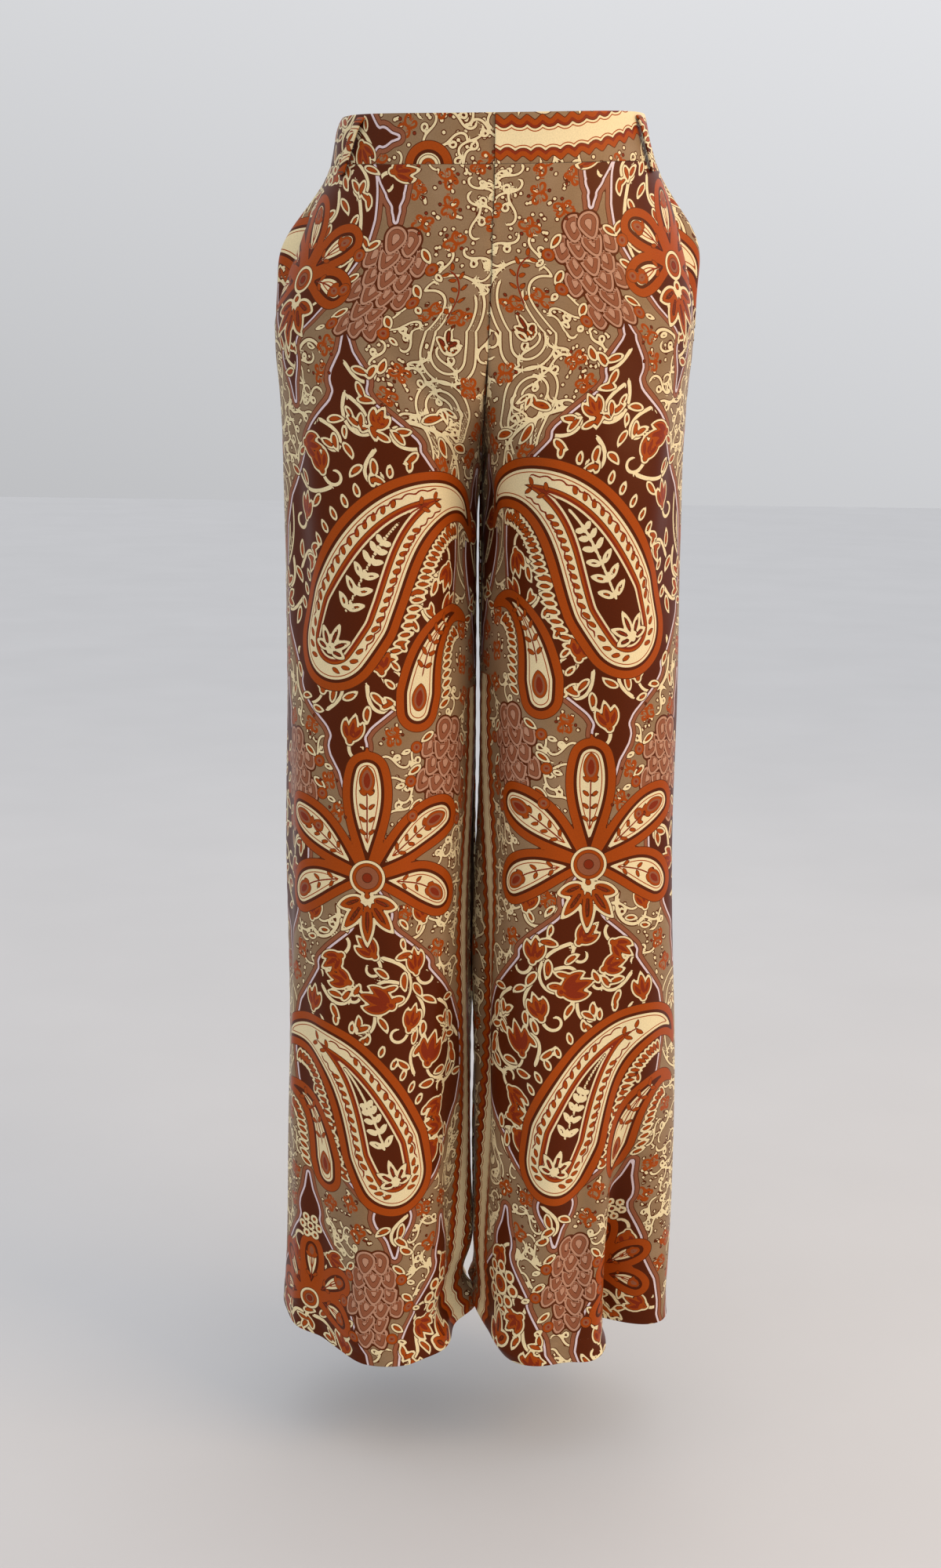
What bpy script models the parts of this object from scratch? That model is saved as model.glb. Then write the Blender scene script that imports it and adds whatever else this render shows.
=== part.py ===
"""Straight-leg trousers, filled out as they hang when worn. Metres, +Z up.

The front faces -Y and the wearer's left is +X. The origin is the middle of the waistband's ring,
where a waist holds the garment. Each piece that a maker cuts is an object of its own: two fronts,
two backs, two waistband halves, two pocket bags and their facings, a fly underlap and three belt loops.

Every panel is a sheet on one garment surface. A place on that surface is a height z and a fraction
"around": 0 at the side seam, +1 at the front's inner seam, -1 at the back's. The inner seam is the
centre seam down to the crotch, and the inseam below it.
"""

import functools
import math
from collections import namedtuple

import bmesh
import bpy
from mathutils import Vector

# ---- Driving dimensions ----
BAND_TOP = 0.019
BAND_FOOT = -0.019
CROTCH = -0.252
HEM = -1.035
CLOTH = 0.0013
BAND_CLOTH = 0.0022
SEAM_GAP = 0.0003

# How the waist and the hem rise and dip, over the reach from the edge to the height given.
FRONT_WAIST_DIP = 0.008
BACK_WAIST_RISE = 0.008
WAIST_TILT = 0.003
WAIST_REACH = -0.16
FRONT_HEM_DROP = 0.018
BACK_HEM_DROP = 0.004
HEM_REACH = -0.80
FULL_DEPTH = 0.1
FULL_SIDE = 0.13

# The centre seams leave the surface at these heights and curve in to the crotch, on the inseam.
FRONT_SEAM_TURNS = -0.168
BACK_SEAM_TURNS = -0.135
CROTCH_CURVE = 2.3
INSEAM_Y = 0.008
RISE_HEAD = -0.135
RISE_FOOT = -0.37

# The powers of the rounded outlines: 2 is an ellipse, and more is squarer.
SURFACE_POWER = 2.25
CORNER_POWER = 2.1
CORNER_STEPS = 24
SURFACE_STEPS = 40

# The pocket mouth is an opening in the side seam, whose back edge stands out as it gapes.
POCKET_OPEN = 0.165
POCKET_END = -0.155
POCKET_FOOT = -0.24
POCKET_MOUTH_POWER = 0.8
LEAST_MOUTH = 0.04
GAPE = 0.011
GAPE_Z = -0.078
GAPE_HEIGHT = 0.034
GAPE_AROUND = 0.03
GAPE_WIDTH = 0.15
BAG_COLUMNS = 12
FACING_REACH = 0.52
FACING_CLEARANCE = 0.0018

LOOP_WIDTH = 0.009
LOOP_CLOTH = 0.0015
LOOP_BOW = 0.0032
LOOP_TOP = 0.0165
LOOP_FOOT = -0.027
LOOP_ROWS = 12

FLY_HALF_WIDTH = 0.017

# The panels' grids.
EDGE_ROW = 0.002
PANEL_COLUMNS = 18
BAND_COLUMNS = 23
HIP_ROWS = 7
RISE_ROWS = 5
LEG_ROWS = 12
HEM_ROWS = 2
HEM_FLARE = 0.058

# One row for each height at which the garment was measured, in metres. side, front and back are how
# far it reaches and lean is how far that is to the wearer's left of the middle. front_line and
# back_line are how far the foremost and rearmost lines of a leg stand from its inner edge, half_gap
# is half the distance between the two halves, and centre_x is the middle of that gap.
Section = namedtuple("Section", "z side lean front back front_line back_line half_gap centre_x")
SECTIONS = [
    Section(0.030, 0.1250, 0.0000, 0.0965, 0.0990, 0.000, 0.000, 0.00015, 0.003),
    Section(0.000, 0.1300, 0.0015, 0.1000, 0.1025, 0.000, 0.000, 0.00015, 0.003),
    Section(-0.019, 0.1350, 0.0025, 0.1030, 0.1045, 0.000, 0.000, 0.00015, 0.003),
    Section(-0.045, 0.1470, 0.0020, 0.1065, 0.1090, 0.000, 0.000, 0.00015, 0.003),
    Section(-0.070, 0.1580, 0.0015, 0.1090, 0.1150, 0.000, 0.000, 0.00015, 0.002),
    Section(-0.101, 0.1690, 0.0000, 0.1110, 0.1220, 0.000, 0.000, 0.00015, 0.002),
    Section(-0.136, 0.1755, -0.0020, 0.1120, 0.1265, 0.000, 0.002, 0.00015, 0.001),
    Section(-0.168, 0.1750, -0.0030, 0.1125, 0.1270, 0.002, 0.010, 0.00015, 0.000),
    Section(-0.200, 0.1720, -0.0030, 0.1120, 0.1240, 0.020, 0.026, 0.00015, -0.002),
    Section(-0.230, 0.1705, -0.0025, 0.1110, 0.1170, 0.044, 0.048, 0.00015, -0.004),
    Section(-0.252, 0.1700, -0.0025, 0.1095, 0.1110, 0.061, 0.063, 0.00020, -0.005),
    Section(-0.300, 0.1700, -0.0020, 0.1065, 0.1040, 0.076, 0.080, 0.00140, -0.005),
    Section(-0.360, 0.1700, -0.0015, 0.1030, 0.0990, 0.080, 0.084, 0.00160, -0.005),
    Section(-0.470, 0.1710, -0.0010, 0.0980, 0.0950, 0.081, 0.084, 0.00170, -0.005),
    Section(-0.610, 0.1720, -0.0005, 0.0950, 0.0930, 0.080, 0.084, 0.00170, -0.005),
    Section(-0.760, 0.1740, -0.0005, 0.0950, 0.0950, 0.078, 0.085, 0.00160, -0.005),
    Section(-0.900, 0.1760, -0.0005, 0.0965, 0.0975, 0.076, 0.086, 0.00150, -0.005),
    Section(-0.972, 0.1765, -0.0010, 0.0975, 0.0985, 0.066, 0.084, 0.00130, -0.005),
    Section(-1.006, 0.1765, -0.0015, 0.0980, 0.0990, 0.058, 0.080, 0.00720, -0.008),
    Section(-1.035, 0.1770, -0.0015, 0.0985, 0.0995, 0.058, 0.082, 0.00170, -0.006),
]

# The large soft folds. A fold runs from its place at top to its place at low, and its height grows over
# the share FOLD_GROWTH of that. Below zero it is a trough. half is -1 for the wearer's right, +1 the left.
FOLD_GROWTH = 0.75
Fold = namedtuple("Fold", "half around_top around_low top low height width")
FOLDS = [
    Fold(+1, 0.31, 0.255, -0.76, -1.06, -0.041, 0.085),
    Fold(+1, 0.34, 0.290, -0.48, -1.06, -0.005, 0.110),
    Fold(+1, 0.12, 0.14, -0.52, -1.06, 0.004, 0.110),
    Fold(+1, 0.66, 0.62, -0.40, -1.06, 0.004, 0.130),
    Fold(+1, 0.80, 0.84, -0.30, -0.80, -0.004, 0.090),
    Fold(-1, 0.30, 0.24, -0.55, -1.06, -0.010, 0.090),
    Fold(-1, 0.52, 0.48, -0.35, -1.06, 0.004, 0.130),
    Fold(-1, 0.82, 0.80, -0.34, -1.06, -0.006, 0.080),
    Fold(+1, -0.36, -0.30, -0.30, -1.06, -0.012, 0.100),
    Fold(+1, -0.66, -0.70, -0.26, -1.06, -0.010, 0.110),
    Fold(-1, -0.30, -0.34, -0.33, -1.06, -0.011, 0.100),
    Fold(-1, -0.70, -0.64, -0.24, -1.06, -0.012, 0.110),
]

# Where each belt loop's ends lie, as fractions around.
BeltLoop = namedtuple("BeltLoop", "name half around_top around_foot")
BELT_LOOPS = [
    BeltLoop("belt_loop_right", -1, 0.37, 0.31),
    BeltLoop("belt_loop_left", +1, 0.27, 0.25),
    BeltLoop("belt_loop_back", +1, -0.999, -0.999),
]

COLOURS = {
    "panel": (0.36, 0.15, 0.06, 1.0),
    "band": (0.44, 0.24, 0.12, 1.0),
    "loop": (0.42, 0.17, 0.07, 1.0),
}


# ---- The garment surface ----
def blend(start, end, value):
    """0 at start, 1 at end, and smooth between them."""
    share = min(1.0, max(0.0, (value - start) / (end - start)))
    return share * share * (3 - 2 * share)


@functools.lru_cache(maxsize=None)
def section_at(z):
    """The measured sizes at height z, on a smooth curve through the table's rows."""
    upper = max(1, min(len(SECTIONS) - 3, sum(row.z > z for row in SECTIONS) - 1))
    a, b, c, d = SECTIONS[upper - 1 : upper + 3]
    share = (b.z - z) / (b.z - c.z)
    values = {"z": z}
    for name in Section._fields[1:]:
        before, start, end, after = (getattr(row, name) for row in (a, b, c, d))
        leave = (end - before) / (a.z - c.z) * (b.z - c.z)
        arrive = (after - start) / (b.z - d.z) * (b.z - c.z)
        towards_end = share * share * (3 - 2 * share)
        leaving = share * (1 - share) ** 2
        arriving = share * share * (share - 1)
        values[name] = start + (end - start) * towards_end + leave * leaving + arrive * arriving
    values["half_gap"] = max(SEAM_GAP / 2, values["half_gap"])
    values["front_line"] = max(0.0, values["front_line"])
    values["back_line"] = max(0.0, values["back_line"])
    return Section(**values)


def inner_seam_y(z, front):
    """How far forward or back the inner seam lies: on the surface at first, then round to the crotch."""
    turns = FRONT_SEAM_TURNS if front else BACK_SEAM_TURNS
    section = section_at(z)
    surface = -section.front if front else section.back
    share = min(1.0, max(0.0, (turns - z) / (turns - CROTCH)))
    return surface + (INSEAM_Y - surface) * share**CROTCH_CURVE


@functools.lru_cache(maxsize=None)
def outline(half, front, z):
    """A panel's plan outline at height z, from inner seam to side seam, and the lengths along it."""
    section = section_at(z)
    forward = -1 if front else 1
    reach = section.front if front else section.back
    line = section.front_line if front else section.back_line
    seam_x, seam_y = section.centre_x + half * section.half_gap, inner_seam_y(z, front)
    line_x, line_y = seam_x + half * line, forward * reach
    side_x = half * section.side + section.lean
    points = []
    for step in range(CORNER_STEPS + 1):
        angle = math.pi / 2 * step / CORNER_STEPS
        along, across = math.sin(angle) ** (2 / CORNER_POWER), math.cos(angle) ** (2 / CORNER_POWER)
        points.append(Vector((line_x + (seam_x - line_x) * across, seam_y + (line_y - seam_y) * along)))
    for step in range(1, SURFACE_STEPS + 1):
        angle = math.pi / 2 * step / SURFACE_STEPS
        along, across = math.sin(angle) ** (2 / SURFACE_POWER), math.cos(angle) ** (2 / SURFACE_POWER)
        points.append(Vector((line_x + (side_x - line_x) * along, line_y * across)))
    lengths = [0.0]
    for before, after in zip(points, points[1:]):
        lengths.append(lengths[-1] + (after - before).length)
    return points, lengths


@functools.lru_cache(maxsize=None)
def even_length(half, front, z):
    """A panel's width with its growth towards the crotch spread evenly over the rise and the thigh."""
    if RISE_HEAD < z or z < RISE_FOOT:
        return outline(half, front, z)[1][-1]
    above, below = (outline(half, front, height)[1][-1] for height in (RISE_HEAD, RISE_FOOT))
    return above + (below - above) * blend(RISE_HEAD, RISE_FOOT, z)


def on_outline(half, around, z):
    """The plan point at a fraction around, and the outward direction there.

    Near the side the fraction follows the evened width, so that the columns run straight down, and
    the rest of the true width is taken up beside the inner seam.
    """
    front = around > 0
    points, lengths = outline(half, front, z)
    share, smooth = abs(around), even_length(half, front, z)
    at = lengths[-1] - share * smooth - (lengths[-1] - smooth) * share**4
    last = len(lengths) - 2
    index = min(last, max(0, sum(length <= at for length in lengths) - 1))
    while lengths[index + 1] - lengths[index] < 1e-9 and index < last:
        index += 1
    start, end = points[index], points[index + 1]
    point = start.lerp(end, (at - lengths[index]) / (lengths[index + 1] - lengths[index]))
    along = (end - start).normalized()
    turn = half if front else -half
    return point, Vector((-along.y, along.x)) * turn * -1


def fold_height(half, around, z):
    """How far the folds push the cloth out at a place."""
    total = 0.0
    for fold in FOLDS:
        if fold.half != half or z > fold.top:
            continue
        share = min(1.0, (fold.top - z) / (fold.top - fold.low))
        middle = fold.around_top + (fold.around_low - fold.around_top) * share
        across = math.exp(-(((around - middle) / fold.width) ** 2))
        total += fold.height * blend(0, FOLD_GROWTH, share) * across
    return total


def pocket_gape(around, z):
    """How far the pocket's back layer stands out beside the side seam."""
    up, across = (z - GAPE_Z) / GAPE_HEIGHT, (around - GAPE_AROUND) / GAPE_WIDTH
    return GAPE * math.exp(-(up**2) - across**2)


def hang(x, y, z):
    """How far a point of row z lies above or below it, as the waist and the hem dip at the front."""
    at_waist, at_hem = blend(WAIST_REACH, BAND_FOOT, z), blend(HEM_REACH, HEM, z)
    forward, backward = max(0.0, -y) / FULL_DEPTH, max(0.0, y) / FULL_DEPTH
    waist = BACK_WAIST_RISE * backward**2 - FRONT_WAIST_DIP * forward**2 + WAIST_TILT * x / FULL_SIDE
    hem = -FRONT_HEM_DROP * min(1.0, forward) ** 1.5 - BACK_HEM_DROP * backward**2
    return at_waist * waist + at_hem * hem


def surface(half, around, z, lift=0.0, gape=False):
    """The garment's outer surface at a place, lifted along the outward direction."""
    plan, outward = on_outline(half, around, z)
    out = fold_height(half, around, z) + lift
    if gape:
        out += pocket_gape(around, z)
    plan = plan + outward * out
    return Vector((plan.x, plan.y, z + hang(plan.x, plan.y, z)))


# ---- Building ----
def material(name, roughness):
    """A cloth material with a soft sheen."""
    made = bpy.data.materials.new(name)
    made.use_nodes = True
    shader = made.node_tree.nodes["Principled BSDF"]
    shader.inputs["Base Color"].default_value = COLOURS[name]
    shader.inputs["Roughness"].default_value = roughness
    shader.inputs["Metallic"].default_value = 0.0
    return made


def sheet(name, rows, cloth, finish, turn, under=0.0, side=-1):
    """A cloth piece from a grid of points, thickened inwards (side -1) or outwards (+1).

    The rows run downwards. Their points run round the body towards the wearer's left across the
    front where turn is 1, and the other way where it is -1, so the faces always look outwards.
    Each face starts at the corner nearer the row's first point, so that the two sides mirror each
    other. The piece's outer face lies the depth under beneath the points.
    """
    mesh = bpy.data.meshes.new(name)
    work = bmesh.new()
    grid = [[work.verts.new(point) for point in row[::turn]] for row in rows]
    for upper, lower in zip(grid, grid[1:]):
        for k in range(len(upper) - 1):
            corners = (upper[k + 1], upper[k], lower[k], lower[k + 1])
            work.faces.new(corners if turn < 0 else corners[1:] + corners[:1])
    work.to_mesh(mesh)
    work.free()
    mesh.shade_smooth()
    mesh.materials.append(finish)
    piece = bpy.data.objects.new(name, mesh)
    trousers.objects.link(piece)
    thick = piece.modifiers.new("cloth", "SOLIDIFY")
    thick.thickness = cloth
    thick.offset = side * (1 + 2 * under / cloth)
    return piece


def margins(values, edge):
    """The values with one more close to each end, so that a sheet's rim stands square to it."""
    step = math.copysign(edge, values[-1] - values[0])
    return [values[0], values[0] + step, *values[1:-1], values[-1] - step, values[-1]]


def even(start, end, steps):
    """Values from start to end in even steps."""
    return [start + (end - start) * k / steps for k in range(steps + 1)]


def seam_place(half, front, z):
    """The fraction around that lies half a seam's gap from the seam's line."""
    return SEAM_GAP / 2 / outline(half, front, z)[1][-1]


def edge_place(half, front, z):
    """The fraction around of the narrow column along a panel's edge."""
    return EDGE_ROW / outline(half, front, z)[1][-1]


def panel_rows():
    """The heights of a panel's rows, closest where the centre seam turns round and at the hem."""
    hips = even(BAND_FOOT - SEAM_GAP, FRONT_SEAM_TURNS, HIP_ROWS)
    rise = even(FRONT_SEAM_TURNS, CROTCH, RISE_ROWS)[1:]
    thigh = even(CROTCH, RISE_FOOT, RISE_ROWS)[1:]
    legs = even(RISE_FOOT, HEM + HEM_FLARE, LEG_ROWS)[1:]
    foot = even(HEM + HEM_FLARE, HEM, HEM_ROWS)[1:]
    return margins(hips + rise + thigh + legs + foot, EDGE_ROW)


def pocket_edge(z):
    """The fraction around at which the front's edge lies: forward of 0 where the pocket gapes."""
    share = min(1.0, max(0.0, (BAND_FOOT - z) / (BAND_FOOT - POCKET_END)))
    return POCKET_OPEN * math.sin(math.pi * share) ** POCKET_MOUTH_POWER


@functools.lru_cache(maxsize=None)
def panel_grid(half, front):
    """A panel's points, row by row, from its inner seam to the side seam or the pocket's edge."""
    grid = []
    for z in panel_rows():
        near = seam_place(half, front, z)
        end = near + (pocket_edge(z) if front else 0.0)
        arounds = margins(even(1 - near, end, PANEL_COLUMNS), edge_place(half, front, z))
        sign = 1 if front else -1
        grid.append([surface(half, sign * around, z, gape=not front) for around in arounds])
    return grid


def panel(half, front, name, finish):
    """A front or back panel."""
    return sheet(name, panel_grid(half, front), CLOTH, finish, half if front else -half)


def pocket_bag(half, name, finish):
    """The pocket's front layer, made from the front's own points, just behind it."""
    depth = sum(z > POCKET_FOOT for z in panel_rows())
    rows = [points[-BAG_COLUMNS:] for points in panel_grid(half, True)[:depth]]
    return sheet(name, rows, CLOTH, finish, half, under=CLOTH + SEAM_GAP)


def pocket_facing(half, name, finish):
    """The pocket's back layer, which comes out to the surface between the front's edge and the side."""
    depth = 2 * (CLOTH + SEAM_GAP) + FACING_CLEARANCE
    rows = []
    for z in (z for z in panel_rows() if z > POCKET_FOOT):
        near = seam_place(half, True, z)
        edge = pocket_edge(z)
        mouth = near + max(edge, LEAST_MOUTH)
        arounds = even(FACING_REACH, mouth, 6) + even(mouth, near, 5)[1:]
        row = []
        for around in margins(arounds, 0.5 * edge_place(half, True, z)):
            out = 0.0
            if edge > 0:
                out = blend(near + edge, near + 0.3 * edge, around) * blend(0.0, LEAST_MOUTH, edge)
            row.append(surface(half, around, z, lift=out * (depth + pocket_gape(around, z))))
        rows.append(row)
    return sheet(name, rows, CLOTH, finish, half, under=depth)


def waistband(half, name, finish):
    """Half of the waistband, from the centre front round the side to the centre back."""
    rows = []
    for z in margins(even(BAND_TOP, BAND_FOOT, 2), EDGE_ROW):
        arounds = even(1 - seam_place(half, True, z), seam_place(half, False, z) - 1, BAND_COLUMNS)
        rows.append([surface(half, around, z) for around in margins(arounds, edge_place(half, True, z))])
    return sheet(name, rows, BAND_CLOTH, finish, half)


def fly_underlap(name, finish):
    """The strip behind the front opening, which lies against the insides of both fronts."""
    rows = []
    for z, left, right in zip(panel_rows(), panel_grid(1, True), panel_grid(-1, True)):
        if z < FRONT_SEAM_TURNS:
            break
        share = (FLY_HALF_WIDTH - (left[2] - left[0]).length) / (left[3] - left[2]).length
        right_end, left_end = right[2].lerp(right[3], share), left[2].lerp(left[3], share)
        rows.append([right_end, *right[2::-1], *left[:3], left_end])
    return sheet(name, rows, CLOTH, finish, 1, under=CLOTH + SEAM_GAP)


def belt_loop(loop, finish):
    """A narrow strip from the band's top edge to just under its foot, bowed out for a belt."""
    rows = []
    for share in even(0.0, 1.0, LOOP_ROWS):
        around = loop.around_top + (loop.around_foot - loop.around_top) * share
        z = LOOP_TOP + (LOOP_FOOT - LOOP_TOP) * share
        lift = 2 * SEAM_GAP + LOOP_BOW * (1 - (2 * share - 1) ** 4)
        step = math.copysign(edge_place(loop.half, True, z), around)
        middle = surface(loop.half, around, z, lift=lift)
        beside = surface(loop.half, around - step, z, lift=lift)
        along = (beside - middle).normalized()
        rows.append([middle + along * LOOP_WIDTH * side for side in (-0.5, 0.0, 0.5)])
    turn = loop.half if loop.around_top > 0 else -loop.half
    return sheet(loop.name, rows, LOOP_CLOTH, finish, turn, side=1)


# ---- The object ----
for old in list(bpy.context.scene.objects):
    bpy.data.objects.remove(old)
trousers = bpy.data.collections.new("straight_leg_trousers")
bpy.context.scene.collection.children.link(trousers)
panel_cloth = material("panel", 0.55)
band_cloth = material("band", 0.55)
loop_cloth = material("loop", 0.60)

for half, hand in ((-1, "right"), (1, "left")):
    panel(half, True, f"front_{hand}", panel_cloth)
    panel(half, False, f"back_{hand}", panel_cloth)
    pocket_bag(half, f"pocket_bag_{hand}", panel_cloth)
    pocket_facing(half, f"pocket_facing_{hand}", panel_cloth)
    waistband(half, f"waistband_{hand}", band_cloth)
for loop in BELT_LOOPS:
    belt_loop(loop, loop_cloth)
fly_underlap("fly_underlap", panel_cloth)
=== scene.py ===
"""The looks of the straight-leg trousers: cut panels of printed satin, sewn and hung as worn.

Every piece lies on one garment surface. A place on it is a height z and a fraction "around": 0 at the
side seam, +1 at the front's inner seam, -1 at the back's. The print is laid out once, on a flat cloth
in millimetres, and each piece is cut from its own place on that cloth.
"""

import functools
import math
from collections import namedtuple

import bpy
import numpy as np
from mathutils import Matrix, Vector


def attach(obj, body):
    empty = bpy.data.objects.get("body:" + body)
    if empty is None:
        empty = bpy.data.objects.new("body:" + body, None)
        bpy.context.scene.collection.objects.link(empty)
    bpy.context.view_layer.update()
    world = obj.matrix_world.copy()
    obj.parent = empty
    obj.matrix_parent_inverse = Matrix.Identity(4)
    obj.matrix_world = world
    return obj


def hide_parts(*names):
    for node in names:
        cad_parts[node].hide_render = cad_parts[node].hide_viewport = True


bl_info = {
    "name": "Straight-leg trousers",
    "version": (1, 0, 0),
    "blender": (4, 5, 0),
    "location": "3D View > Sidebar > Trousers",
    "description": "Builds printed satin trousers on their frame, with sewing, light and camera",
    "category": "Add Mesh",
}

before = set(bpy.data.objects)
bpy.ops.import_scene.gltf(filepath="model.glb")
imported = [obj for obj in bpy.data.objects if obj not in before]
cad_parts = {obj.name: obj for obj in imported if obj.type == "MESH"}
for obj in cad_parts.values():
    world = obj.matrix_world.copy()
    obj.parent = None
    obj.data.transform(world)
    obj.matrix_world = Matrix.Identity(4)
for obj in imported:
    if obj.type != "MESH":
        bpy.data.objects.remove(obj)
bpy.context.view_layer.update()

# ---- The garment's measures, in metres, as its frame has them ----
BAND_TOP = 0.019
BAND_FOOT = -0.019
CROTCH = -0.252
THIGH = -0.4
KNEE = -0.5
HEM = -1.035
SEAM_GAP = 0.0003
PANEL_CLOTH = 0.0013

FRONT_WAIST_DIP = 0.008
BACK_WAIST_RISE = 0.008
WAIST_TILT = 0.003
WAIST_REACH = -0.16
FRONT_HEM_DROP = 0.018
BACK_HEM_DROP = 0.004
HEM_REACH = -0.80
FULL_DEPTH = 0.1
FULL_SIDE = 0.13

FRONT_SEAM_TURNS = -0.168
BACK_SEAM_TURNS = -0.135
CROTCH_CURVE = 2.3
INSEAM_Y = 0.008
RISE_HEAD = -0.135
RISE_FOOT = -0.37

SURFACE_POWER = 2.25
CORNER_POWER = 2.1
CORNER_STEPS = 120
SURFACE_STEPS = 240
TANGENT_REACH = 0.0012

POCKET_OPEN = 0.165
POCKET_END = -0.155
POCKET_FOOT = -0.2352
POCKET_MOUTH_POWER = 0.8
LEAST_MOUTH = 0.04
GAPE = 0.011
GAPE_Z = -0.078
GAPE_HEIGHT = 0.034
GAPE_AROUND = 0.03
GAPE_WIDTH = 0.15
BAG_SHARE = 0.556
FACING_REACH = 0.52
FACING_CLEARANCE = 0.0018
POCKET_EDGE = 0.004

LOOP_WIDTH = 0.009
LOOP_CLOTH = 0.0015
LOOP_BOW = 0.0032
LOOP_TOP = 0.0165
LOOP_FOOT = -0.027
LOOP_STEP = 0.012
LOOP_CROWN = 0.00035
LOOP_SET = 0.0003
LOOP_COLUMNS, LOOP_ROWS = 15, 64

FLY_HALF_WIDTH = 0.017
FLY_END = -0.158
FLY_COLUMNS = 12

# One row for each height at which the garment was measured.
Section = namedtuple("Section", "z side lean front back front_line back_line half_gap centre_x")
SECTIONS = np.array([
    Section(0.030, 0.1250, 0.0000, 0.0965, 0.0990, 0.000, 0.000, 0.00015, 0.003),
    Section(0.000, 0.1300, 0.0015, 0.1000, 0.1025, 0.000, 0.000, 0.00015, 0.003),
    Section(-0.019, 0.1350, 0.0025, 0.1030, 0.1045, 0.000, 0.000, 0.00015, 0.003),
    Section(-0.045, 0.1470, 0.0020, 0.1065, 0.1090, 0.000, 0.000, 0.00015, 0.003),
    Section(-0.070, 0.1580, 0.0015, 0.1090, 0.1150, 0.000, 0.000, 0.00015, 0.002),
    Section(-0.101, 0.1690, 0.0000, 0.1110, 0.1220, 0.000, 0.000, 0.00015, 0.002),
    Section(-0.136, 0.1755, -0.0020, 0.1120, 0.1265, 0.000, 0.002, 0.00015, 0.001),
    Section(-0.168, 0.1750, -0.0030, 0.1125, 0.1270, 0.002, 0.010, 0.00015, 0.000),
    Section(-0.200, 0.1720, -0.0030, 0.1120, 0.1240, 0.020, 0.026, 0.00015, -0.002),
    Section(-0.230, 0.1705, -0.0025, 0.1110, 0.1170, 0.044, 0.048, 0.00015, -0.004),
    Section(-0.252, 0.1700, -0.0025, 0.1095, 0.1110, 0.061, 0.063, 0.00020, -0.005),
    Section(-0.300, 0.1700, -0.0020, 0.1065, 0.1040, 0.076, 0.080, 0.00140, -0.005),
    Section(-0.360, 0.1700, -0.0015, 0.1030, 0.0990, 0.080, 0.084, 0.00160, -0.005),
    Section(-0.470, 0.1710, -0.0010, 0.0980, 0.0950, 0.081, 0.084, 0.00170, -0.005),
    Section(-0.610, 0.1720, -0.0005, 0.0950, 0.0930, 0.080, 0.084, 0.00170, -0.005),
    Section(-0.760, 0.1740, -0.0005, 0.0950, 0.0950, 0.078, 0.085, 0.00160, -0.005),
    Section(-0.900, 0.1760, -0.0005, 0.0965, 0.0975, 0.076, 0.086, 0.00150, -0.005),
    Section(-0.972, 0.1765, -0.0010, 0.0975, 0.0985, 0.066, 0.084, 0.00130, -0.005),
    Section(-1.006, 0.1765, -0.0015, 0.0980, 0.0990, 0.058, 0.080, 0.00720, -0.008),
    Section(-1.035, 0.1770, -0.0015, 0.0985, 0.0995, 0.058, 0.082, 0.00170, -0.006),
])

# Folds grow downwards from top and stay; a height below zero makes a trough. They run from
# around_top at the height top to around_low at the height low.
FOLD_GROWTH = 0.75
Fold = namedtuple("Fold", "half around_top around_low top low height width")
FOLDS = [
    Fold(+1, 0.31, 0.255, -0.76, -1.06, -0.041, 0.085),
    Fold(+1, 0.34, 0.290, -0.48, -1.06, -0.005, 0.110),
    Fold(+1, 0.12, 0.14, -0.52, -1.06, 0.004, 0.110),
    Fold(+1, 0.66, 0.62, -0.40, -1.06, 0.004, 0.130),
    Fold(+1, 0.80, 0.84, -0.30, -0.80, -0.004, 0.090),
    Fold(-1, 0.30, 0.24, -0.55, -1.06, -0.010, 0.090),
    Fold(-1, 0.52, 0.48, -0.35, -1.06, 0.004, 0.130),
    Fold(-1, 0.82, 0.80, -0.34, -1.06, -0.006, 0.080),
    Fold(+1, -0.36, -0.30, -0.30, -1.06, -0.012, 0.100),
    Fold(+1, -0.66, -0.70, -0.26, -1.06, -0.010, 0.110),
    Fold(-1, -0.30, -0.34, -0.33, -1.06, -0.011, 0.100),
    Fold(-1, -0.70, -0.64, -0.24, -1.06, -0.012, 0.110),
]

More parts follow.
